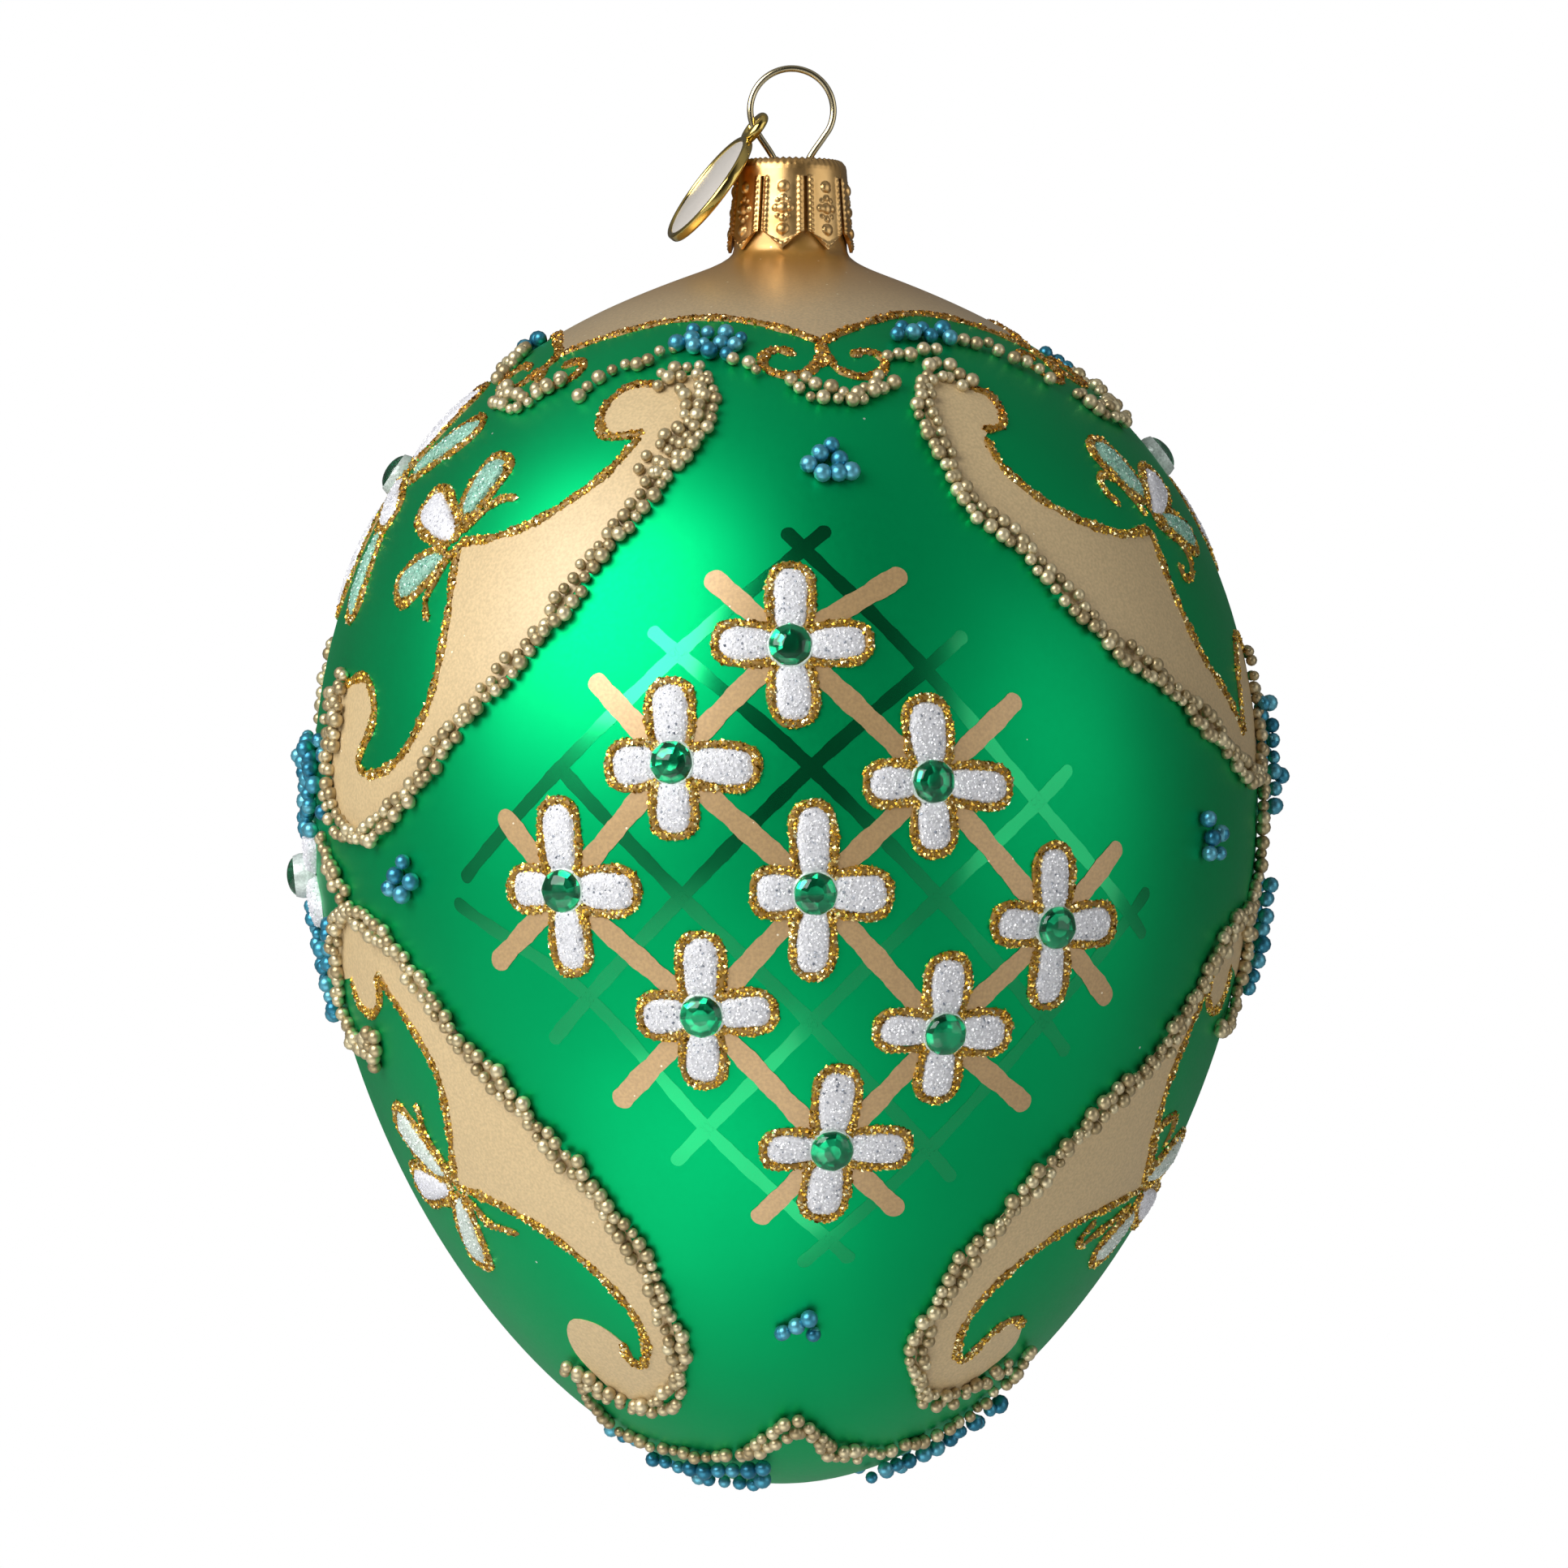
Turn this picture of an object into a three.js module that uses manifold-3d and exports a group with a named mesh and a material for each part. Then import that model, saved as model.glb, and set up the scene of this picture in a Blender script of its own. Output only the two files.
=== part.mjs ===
// A blown-glass hanging egg: a hollow glass body with a neck, a sheet-metal crown cap pressed over the neck,
// a wire loop through the cap, an enamelled tag on the wire, and round stones glued on the glass.
// Millimetres, +Z up, front towards -Y. The origin is the inside top of the loop, where the egg hangs.

import * as THREE from "three";
import { mergeVertices } from "three/addons/utils/BufferGeometryUtils.js";
import Module from "manifold-3d";

const wasm = await Module();
wasm.setup();

// Glass body
const EGG_TOP = -19.84; // where the egg's own curve would close under the neck
const EGG_BOTTOM = -134.66;
const EGG_MIDDLE_RADIUS = 44.57;
const EGG_FULLNESS = 0.141; // how much fuller the upper half is
const EGG_SHOULDER_LIFT = 0.024;
const GLASS_WALL = 1.0;
const NECK_RIM_Z = -9.2;
const NECK_RIM_RADIUS = 4.65;
const NECK_BASE_Z = -17.2;
const NECK_BASE_RADIUS = 5.4;
const FILLET_BEND = [5.45, -18.15];
const FILLET_END = [9.0, -19.45];
const SHOULDER_BEND = [17.47, -22.59];
const SHOULDER_END_Z = -25.65;
const GLASS_SIDES = 40;
const BODY_STEPS = 18;
const NECK_CURVE_STEPS = 3;

// Crown cap
const CAP_TOP_Z = -8.6;
const CAP_SHEET = 0.3;
const CAP_TOP_RADIUS = 4.7;
const CAP_EDGE_DROP = 0.6; // the rounded edge under the knurled top
const CAP_EDGE_RADIUS = 5.3;
const CAP_TIP_Z = -17.35;
const CAP_TIP_RADIUS = 6.0;
const CAP_SIDES = 48;
const TAB_COUNT = 8;
const TAB_POINT = 2.0; // height of the pointed end of a tab
const CAP_TURN = -11.5; // degrees, the front tab stands a little to the left
const SLOT_WIDTH = 0.4;
const SLOT_TOP_Z = -10.2;

// Wire loop
const WIRE_DIAMETER = 0.64;
const WIRE_SIDES = 8;
const WIRE_STEPS = 64;
const LOOP_RADIUS = 3.98; // to the middle of the wire
const LOOP_CENTRE_Z = WIRE_DIAMETER / 2 - LOOP_RADIUS;
const LOOP_OPEN_ANGLE = 40; // where the circle ends on each side, down from level
const LEG_SPREAD = 1.55; // each leg from the middle, at the cap
const LEG_WAIST = [1.25, -10.3]; // where the legs come closest, in the neck
const LEG_END_SPREAD = 2.5;
const LEG_END_Z = -16.5;
const WIRE_HOLE_RADIUS = WIRE_DIAMETER / 2 + 0.3;

// Tag
const TAG_RADIUS = 6.05;
const TAG_THICKNESS = 1.0;
const TAG_RIM = 0.6;
const TAG_RECESS = 0.6;
const TAG_SIDES = 32;
const ENAMEL_THICKNESS = 0.3;
const PIECE_GAP = 0.3;
const EYELET_RADIUS = 1.3; // to the middle of the ring's own thickness
const EYELET_THICKNESS = 1.0;
const EYELET_REACH = TAG_RADIUS + 1.15; // from the tag's middle to the eyelet's
const TAG_HANG_ANGLE = 207; // place on the loop, counter-clockwise from its right side
const TAG_LEAN = 54.2; // the tag's long line, up from level
const TAG_TURN = 11.5; // how far its face turns to the front

// Stones
const STONE_RADIUS = 1.95;
const STONE_HEIGHT = 1.5;
const STONE_GIRDLE = 0.35; // upright edge under the dome
const STONE_SIDES = 12;
const STONE_STEPS = 3;
const STONE_SEAT = 0.3; // glue under the stone
const LATTICE_MIDDLE_Z = -77.6;
const LATTICE_HALF_WIDTH = 29.6; // degrees round the egg
const LATTICE_HALF_HEIGHT = 22.35;
const LATTICE_ROW_DROP = 1.45; // how much lower the right end of a row is than its middle
const LATTICE_COLUMN_LEAN = 3.1; // degrees, how far a column's foot leans to the right
const LATTICE_ROW_SAG = 1.5; // how much lower both ends of a row are than its middle
const LATTICE_COLUMN_SAG = 0.55; // how much lower the top and foot of a column are than even steps
const WAIST_STONE_GIRDLE = 1.35; // the waist stones stand on a raised bed of paste
const SIDE_STONES = [ // turn from the front, height and upright edge
  ["left_upper_stone", -90, -39.2, STONE_GIRDLE],
  ["left_waist_stone", -90, -77.0, WAIST_STONE_GIRDLE],
  ["right_upper_stone", 88, -36.6, STONE_GIRDLE],
  ["right_waist_stone", 98, -77.0, WAIST_STONE_GIRDLE],
];

// Finishes
const green_glass = new THREE.MeshStandardMaterial({ color: 0x0f8a52, roughness: 0.4, metalness: 0.3 });
const cap_gold = new THREE.MeshStandardMaterial({ color: 0xc9964e, roughness: 0.3, metalness: 1.0 });
const wire_gold = new THREE.MeshStandardMaterial({ color: 0xcdbf94, roughness: 0.25, metalness: 1.0 });
const tag_gold = new THREE.MeshStandardMaterial({ color: 0xc9a94a, roughness: 0.2, metalness: 1.0 });
const tag_white = new THREE.MeshStandardMaterial({ color: 0xe6dcd8, roughness: 0.25, metalness: 0.0 });
const stone_green = new THREE.MeshStandardMaterial({ color: 0x14705a, roughness: 0.1, metalness: 0.0 });

const radians = THREE.MathUtils.degToRad;

// Radius of the egg's own curve at a height.
function egg_radius(z) {
  const middle = (EGG_TOP + EGG_BOTTOM) / 2;
  const u = (z - middle) / ((EGG_TOP - EGG_BOTTOM) / 2);
  const round = Math.sqrt(Math.max(1 - u * u, 0));
  return EGG_MIDDLE_RADIUS * round * (1 + EGG_FULLNESS * u + EGG_SHOULDER_LIFT * u ** 3);
}

// Turn a profile of [radius, height] points, which closes on itself or on the axis, round the Z axis.
function turned(points, sides) {
  const profile = points.map(([r, z]) => new THREE.Vector2(r, z));
  return new THREE.LatheGeometry(profile, sides).rotateX(Math.PI / 2);
}

function to_solid(geometry) {
  const bare = geometry.clone();
  bare.deleteAttribute("normal");
  bare.deleteAttribute("uv");
  const merged = mergeVertices(bare, 1e-4);
  const triVerts = new Uint32Array(merged.index.array);
  const vertProperties = new Float32Array(merged.attributes.position.array);
  return new wasm.Manifold(new wasm.Mesh({ numProp: 3, vertProperties, triVerts }));
}

function to_geometry(solid) {
  const mesh = solid.getMesh();
  const geometry = new THREE.BufferGeometry();
  geometry.setAttribute("position", new THREE.BufferAttribute(new Float32Array(mesh.vertProperties), 3));
  geometry.setIndex(new THREE.BufferAttribute(new Uint32Array(mesh.triVerts), 1));
  geometry.computeVertexNormals();
  return geometry;
}

function named(name, geometry, material) {
  const mesh = new THREE.Mesh(geometry, material);
  mesh.name = name;
  return mesh;
}

// Outside of the glass from the neck's rim down to the point on the axis.
function glass_outline() {
  const shoulder_end = [egg_radius(SHOULDER_END_Z), SHOULDER_END_Z];
  const bend = (from, control, to) => new THREE.QuadraticBezierCurve(
    new THREE.Vector2(...from), new THREE.Vector2(...control), new THREE.Vector2(...to));
  const fillet = bend([NECK_BASE_RADIUS, NECK_BASE_Z], FILLET_BEND, FILLET_END);
  const shoulder = bend(FILLET_END, SHOULDER_BEND, shoulder_end);
  const outline = [[NECK_RIM_RADIUS, NECK_RIM_Z]];
  for (const curve of [fillet, shoulder]) {
    const points = curve.getPoints(NECK_CURVE_STEPS);
    const start = curve === fillet ? 0 : 1;
    outline.push(...points.slice(start).map((p) => [p.x, p.y]));
  }
  const middle = (EGG_TOP + EGG_BOTTOM) / 2;
  const half = (EGG_TOP - EGG_BOTTOM) / 2;
  const first = Math.acos((SHOULDER_END_Z - middle) / half);
  for (let i = 1; i < BODY_STEPS; i += 1) {
    const z = middle + half * Math.cos(first + ((Math.PI - first) * i) / BODY_STEPS);
    outline.push([egg_radius(z), z]);
  }
  outline.push([0, EGG_BOTTOM]);
  return outline;
}

// The same outline moved in by the wall, square to the glass at each point.
function inner_outline(outline) {
  return outline.map(([r, z], i) => {
    const before = outline[Math.max(i - 1, 0)];
    const after = outline[Math.min(i + 1, outline.length - 1)];
    if (r === 0) {
      return [0, z + GLASS_WALL];
    }
    if (i === 0) {
      return [r - GLASS_WALL, z];
    }
    const along = new THREE.Vector2(after[0] - before[0], after[1] - before[1]).normalize();
    return [r + along.y * GLASS_WALL, z - along.x * GLASS_WALL];
  });
}

function glass_egg() {
  const outside = glass_outline();
  const inside = inner_outline(outside);
  const profile = [...outside.reverse(), ...inside];
  return named("glass_egg", turned(profile, GLASS_SIDES), green_glass);
}

// The gap between two tabs: a narrow slot that opens into a notch at the pointed ends.
function tab_slot() {
  const half_pitch = (Math.PI * CAP_TIP_RADIUS) / TAB_COUNT;
  const below = CAP_TIP_Z - 1;
  const shape = new THREE.Shape();
  shape.moveTo(-SLOT_WIDTH / 2, SLOT_TOP_Z);
  shape.lineTo(-SLOT_WIDTH / 2, CAP_TIP_Z + TAB_POINT);
  shape.lineTo(-half_pitch, CAP_TIP_Z);
  shape.lineTo(-half_pitch, below);
  shape.lineTo(half_pitch, below);
  shape.lineTo(half_pitch, CAP_TIP_Z);
  shape.lineTo(SLOT_WIDTH / 2, CAP_TIP_Z + TAB_POINT);
  shape.lineTo(SLOT_WIDTH / 2, SLOT_TOP_Z);
  const depth = CAP_TIP_RADIUS;
  const cutter = new THREE.ExtrudeGeometry(shape, { depth, bevelEnabled: false });
  return cutter.rotateX(Math.PI / 2).translate(0, -CAP_TIP_RADIUS / 2, 0);
}

function crown_cap() {
  const edge_z = CAP_TOP_Z - CAP_EDGE_DROP;
  const sheet = CAP_SHEET;
  const profile = [
    [0, CAP_TOP_Z - sheet],
    [CAP_TOP_RADIUS - sheet / 2, CAP_TOP_Z - sheet],
    [CAP_EDGE_RADIUS - sheet, edge_z - sheet / 2],
    [CAP_TIP_RADIUS - sheet, CAP_TIP_Z],
    [CAP_TIP_RADIUS, CAP_TIP_Z],
    [CAP_EDGE_RADIUS, edge_z],
    [CAP_TOP_RADIUS, CAP_TOP_Z],
    [0, CAP_TOP_Z],
  ];
  let cup = to_solid(turned(profile, CAP_SIDES));
  for (let i = 0; i < TAB_COUNT; i += 1) {
    const turn = (2 * Math.PI * (i + 0.5)) / TAB_COUNT + radians(CAP_TURN);
    cup = cup.subtract(to_solid(tab_slot().rotateZ(turn)));
  }
  for (const side of [-1, 1]) {
    const hole = new THREE.CylinderGeometry(WIRE_HOLE_RADIUS, WIRE_HOLE_RADIUS, 4 * sheet, 12);
    hole.rotateX(Math.PI / 2).translate(side * LEG_SPREAD, 0, CAP_TOP_Z - sheet / 2);
    cup = cup.subtract(to_solid(hole));
  }
  return named("crown_cap", to_geometry(cup), cap_gold);
}

// Middle of the wire: up one leg, round the circle and down the other leg.
function loop_route() {
  const right = [];
  right.push(new THREE.Vector3(LEG_END_SPREAD, 0, LEG_END_Z));
  right.push(new THREE.Vector3(LEG_WAIST[0], 0, LEG_WAIST[1]));
  right.push(new THREE.Vector3(LEG_SPREAD, 0, CAP_TOP_Z));
  const step = 15;
  for (let angle = -LOOP_OPEN_ANGLE; angle < 90; angle += step) {
    const a = radians(angle);
    right.push(new THREE.Vector3(LOOP_RADIUS * Math.cos(a), 0, LOOP_CENTRE_Z + LOOP_RADIUS * Math.sin(a)));
  }
  const top = new THREE.Vector3(0, 0, LOOP_CENTRE_Z + LOOP_RADIUS);
  const left = right.map((p) => new THREE.Vector3(-p.x, 0, p.z)).reverse();
  return new THREE.CatmullRomCurve3([...right, top, ...left], false, "centripetal");
}

function wire_loop() {
  const section = new THREE.Shape();
  for (let i = 0; i < WIRE_SIDES; i += 1) {
    const a = (2 * Math.PI * i) / WIRE_SIDES;
    const x = (WIRE_DIAMETER / 2) * Math.cos(a);
    const y = (WIRE_DIAMETER / 2) * Math.sin(a);
    if (i === 0) {
      section.moveTo(x, y);
    } else {
      section.lineTo(x, y);
    }
  }
  const geometry = new THREE.ExtrudeGeometry(section, { steps: WIRE_STEPS, extrudePath: loop_route() });
  return named("wire_loop", geometry, wire_gold);
}

// A shallow dish with a rim, and a ring at its top edge for the wire.
function tag_frame() {
  const floor = TAG_THICKNESS / 2 - TAG_RECESS;
  const profile = [
    [0, -TAG_THICKNESS / 2],
    [TAG_RADIUS, -TAG_THICKNESS / 2],
    [TAG_RADIUS, TAG_THICKNESS / 2],
    [TAG_RADIUS - TAG_RIM, TAG_THICKNESS / 2],
    [TAG_RADIUS - TAG_RIM, floor],
    [0, floor],
  ];
  const dish = to_solid(turned(profile, TAG_SIDES));
  const ring = new THREE.TorusGeometry(EYELET_RADIUS, EYELET_THICKNESS / 2, 8, 20);
  ring.translate(EYELET_REACH, 0, 0);
  return named("tag_frame", to_geometry(dish.add(to_solid(ring))), tag_gold);
}

function tag_enamel() {
  const radius = TAG_RADIUS - TAG_RIM - PIECE_GAP;
  const bottom = TAG_THICKNESS / 2 - TAG_RECESS + PIECE_GAP;
  const top = bottom + ENAMEL_THICKNESS;
  const profile = [[0, bottom], [radius, bottom], [radius, top], [0, top]];
  return named("tag_enamel", turned(profile, TAG_SIDES), tag_white);
}

// The tag lies in its group's XY plane with the eyelet along +X, and the group hangs it on the wire.
function tag() {
  const lean = radians(TAG_LEAN);
  const turn = radians(TAG_TURN);
  const up = new THREE.Vector3(Math.cos(lean), 0, Math.sin(lean));
  const outward = new THREE.Vector3(-Math.sin(lean), 0, Math.cos(lean));
  const face = outward.clone().multiplyScalar(Math.cos(turn)).add(new THREE.Vector3(0, -Math.sin(turn), 0));
  const across = new THREE.Vector3().crossVectors(face, up);
  const hang = radians(TAG_HANG_ANGLE);
  const on_wire = new THREE.Vector3(
    LOOP_RADIUS * Math.cos(hang), 0, LOOP_CENTRE_Z + LOOP_RADIUS * Math.sin(hang));
  const group = new THREE.Group();
  group.quaternion.setFromRotationMatrix(new THREE.Matrix4().makeBasis(up, across, face));
  group.position.copy(on_wire).addScaledVector(up, -EYELET_REACH);
  group.add(tag_frame(), tag_enamel());
  return group;
}

// A round stone with an upright edge and a low dome, its flat back on the XY plane.
function stone_geometry(girdle) {
  const profile = [[0, 0], [STONE_RADIUS, 0]];
  const dome = STONE_HEIGHT - STONE_GIRDLE;
  for (let i = 0; i < STONE_STEPS; i += 1) {
    const a = (Math.PI / 2) * (i / STONE_STEPS);
    profile.push([STONE_RADIUS * Math.cos(a), girdle + dome * Math.sin(a)]);
  }
  profile.push([0, girdle + dome]);
  return turned(profile, STONE_SIDES);
}

// Set a stone on the glass at a turn round the egg from the front, and a height.
function stone(name, turn, z, girdle) {
  const small = 0.01;
  const slope = (egg_radius(z + small) - egg_radius(z - small)) / (2 * small);
  const a = radians(turn);
  const out = new THREE.Vector3(Math.sin(a), -Math.cos(a), -slope).normalize();
  const foot = new THREE.Vector3(egg_radius(z) * Math.sin(a), -egg_radius(z) * Math.cos(a), z);
  const mesh = named(name, stone_geometry(girdle), stone_green);
  mesh.quaternion.setFromUnitVectors(new THREE.Vector3(0, 0, 1), out);
  mesh.position.copy(foot).addScaledVector(out, STONE_SEAT);
  return mesh;
}

// Nine stones of a diamond lattice, counted along its two slanting directions.
function lattice_stones(panel, panel_turn) {
  const stones = [];
  for (let i = -1; i <= 1; i += 1) {
    for (let j = -1; j <= 1; j += 1) {
      const across = (i + j) / 2;
      const down = (i - j) / 2;
      const turn = panel_turn + across * LATTICE_HALF_WIDTH + down * LATTICE_COLUMN_LEAN;
      const slope = down * LATTICE_HALF_HEIGHT + across * LATTICE_ROW_DROP;
      const sag = across * across * LATTICE_ROW_SAG + down * down * LATTICE_COLUMN_SAG;
      const z = LATTICE_MIDDLE_Z - slope - sag;
      stones.push(stone(`${panel}_stone_${stones.length + 1}`, turn, z, STONE_GIRDLE));
    }
  }
  return stones;
}

const ornament = new THREE.Group();
ornament.add(glass_egg(), crown_cap(), wire_loop(), tag());
ornament.add(...lattice_stones("front", 0), ...lattice_stones("back", 180));
ornament.add(...SIDE_STONES.map((place) => stone(...place)));

export default ornament;
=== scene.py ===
import math

import bpy
import numpy as np
from bpy.props import FloatProperty, FloatVectorProperty, IntProperty, PointerProperty
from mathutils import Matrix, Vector
from mathutils.geometry import delaunay_2d_cdt


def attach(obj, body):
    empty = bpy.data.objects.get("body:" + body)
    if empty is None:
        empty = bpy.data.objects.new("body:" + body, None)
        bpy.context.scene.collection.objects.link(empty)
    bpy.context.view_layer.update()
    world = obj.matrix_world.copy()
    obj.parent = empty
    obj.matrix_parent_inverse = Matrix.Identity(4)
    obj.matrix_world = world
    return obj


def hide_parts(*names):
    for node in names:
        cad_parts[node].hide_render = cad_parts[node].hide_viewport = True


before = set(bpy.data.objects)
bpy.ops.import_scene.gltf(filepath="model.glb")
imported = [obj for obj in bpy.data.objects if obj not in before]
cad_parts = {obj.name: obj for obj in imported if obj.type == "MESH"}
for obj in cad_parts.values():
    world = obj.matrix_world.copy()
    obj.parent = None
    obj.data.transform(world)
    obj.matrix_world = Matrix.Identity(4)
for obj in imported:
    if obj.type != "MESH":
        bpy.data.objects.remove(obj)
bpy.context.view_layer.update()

bl_info = {
    "name": "Jewelled hanging egg",
    "version": (1, 0, 0),
    "blender": (4, 5, 0),
    "location": "View3D > Sidebar > Egg",
    "description": "Builds a lacquered glass egg with gold paint, glitter, beads, stones, crown cap and tag",
    "category": "Object",
}

MM = 0.001

# Glass outline, in millimetres from the hanging point
EGG_TOP = -19.84
EGG_BOTTOM = -134.66
EGG_MIDDLE = (EGG_TOP + EGG_BOTTOM) / 2
EGG_HALF = (EGG_TOP - EGG_BOTTOM) / 2
EGG_MIDDLE_RADIUS = 44.57
EGG_FULLNESS = 0.141
EGG_SHOULDER_LIFT = 0.024
GLASS_WALL = 1.0
NECK_RIM = (4.65, -9.2)
NECK_BASE = (5.4, -17.2)
# Height below which the painted shade and reflection of the cap on the shoulder's gold fade out
CAP_SHADE_FADE_Z = -25.0
FILLET_BEND = (5.45, -18.15)
FILLET_END = (9.0, -19.45)
SHOULDER_BEND = (17.47, -22.59)
SHOULDER_END_Z = -25.65

# Crown cap, wire and tag
CAP_TOP_Z = -8.6
CAP_TIP_Z = -17.35
CAP_EDGE_Z = -9.2
CAP_TOP_RADIUS = 4.7
CAP_EDGE_RADIUS = 5.3
CAP_TIP_RADIUS = 6.0
CAP_SHEET = 0.3
CAP_SKIRT = 1.2
KNURL_COUNT = 48
KNURL_HEIGHT = 0.09
TAB_COUNT = 8
TAB_HALF_WIDTH = 2.0
TAB_GAP = 0.034
TAB_BORDER = {"inset": 0.36, "width": 0.19, "height": 0.2, "pitch": 0.56, "start": 0.7}
TAB_POINT = 2.0
CAP_TURN = -11.5
WIRE_DIAMETER = 0.64
LOOP_RADIUS = 3.98
LOOP_CENTRE_Z = WIRE_DIAMETER / 2 - LOOP_RADIUS
LOOP_OPEN_ANGLE = 40
LEG_SPREAD = 1.55
LEG_WAIST = (1.25, 0, -10.3)
LEG_END_SPREAD = 2.5
LEG_END_Z = -16.5
TAG_RADIUS = 6.05
TAG_THICKNESS = 1.0
TAG_RIM = 0.6
TAG_RECESS = 0.6
TAG_RIM_BEND = 0.32
EYELET_RADIUS = 1.3
EYELET_THICKNESS = 1.0
EYELET_REACH = TAG_RADIUS + 1.15
TAG_HANG_ANGLE = 207
TAG_LEAN = 54.2
TAG_TURN = 11.5

# Stones and the lattice they sit on: turns in degrees from the panel's middle, heights in millimetres
STONE_RADIUS = 1.95
STONE_HEIGHT = 1.5
STONE_GIRDLE = 0.35
STONE_SEAT = 0.3
WAIST_STONE_GIRDLE = 1.35
LATTICE_MIDDLE_Z = -77.6
LATTICE_HALF_WIDTH = 29.6
LATTICE_HALF_HEIGHT = 22.35
LATTICE_ROW_DROP = 1.45
LATTICE_COLUMN_LEAN = 3.1
LATTICE_ROW_SAG = 1.5
LATTICE_COLUMN_SAG = 0.55
SIDE_STONES = [
    ("left_upper_stone", -90, -39.2, STONE_GIRDLE), ("left_waist_stone", -90, -77.0, WAIST_STONE_GIRDLE),
    ("right_upper_stone", 88, -36.6, STONE_GIRDLE), ("right_waist_stone", 98, -77.0, WAIST_STONE_GIRDLE),
]
PANEL_TURNS = (0, 180)
SIDE_TURNS = (-90, 98)
LOBE_TURNS = tuple(range(0, 360, 60))

# Scalloped lower edge of the gold shoulder
CUSP_TURN = 3.0
CUSP_Z = -27.7
SCALLOP_RISE = 3.0
SCALLOP_ROUND = 0.8
SCALLOP_TILT = 0.9

# Curl beside each cusp, as degrees from the cusp and millimetres below it
CUSP_STEM = [(0, 0), (-0.3, -2.4)]
CUSP_CURL = [(0.6, -1.2), (2.6, -2.7), (6.3, -3.3), (9.8, -2.9), (11.6, -1.8), (10.4, -0.9), (7.8, -0.8),
             (5.4, -1.3)]

# Bead lines that repeat under each cusp and each lobe of the scallop
CUSP_BEADS = [(-5.5, -31.6), (-3, -32.7), (1, -33.3), (4.5, -33.4), (7.5, -32.4), (10, -31.4)]
LOBE_BEADS = [
    [[(12, -29.2), (17.5, -28.7), (23, -28.4)], [(30, -27.4), (39, -27.5), (44, -29.2), (48, -30.6)]],
    [[(17, -33.0), (19, -31.2), (22, -30.6), (27.6, -29.3), (30, -28.4)],
     [(43, -30.0), (46, -30.2), (48, -31.0)]],
]
LOBE_BLUE = [([(16.5, -26.8), (29, -26.8)], 2), ([(31.5, -27.7), (43, -28.6)], 3)]

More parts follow.
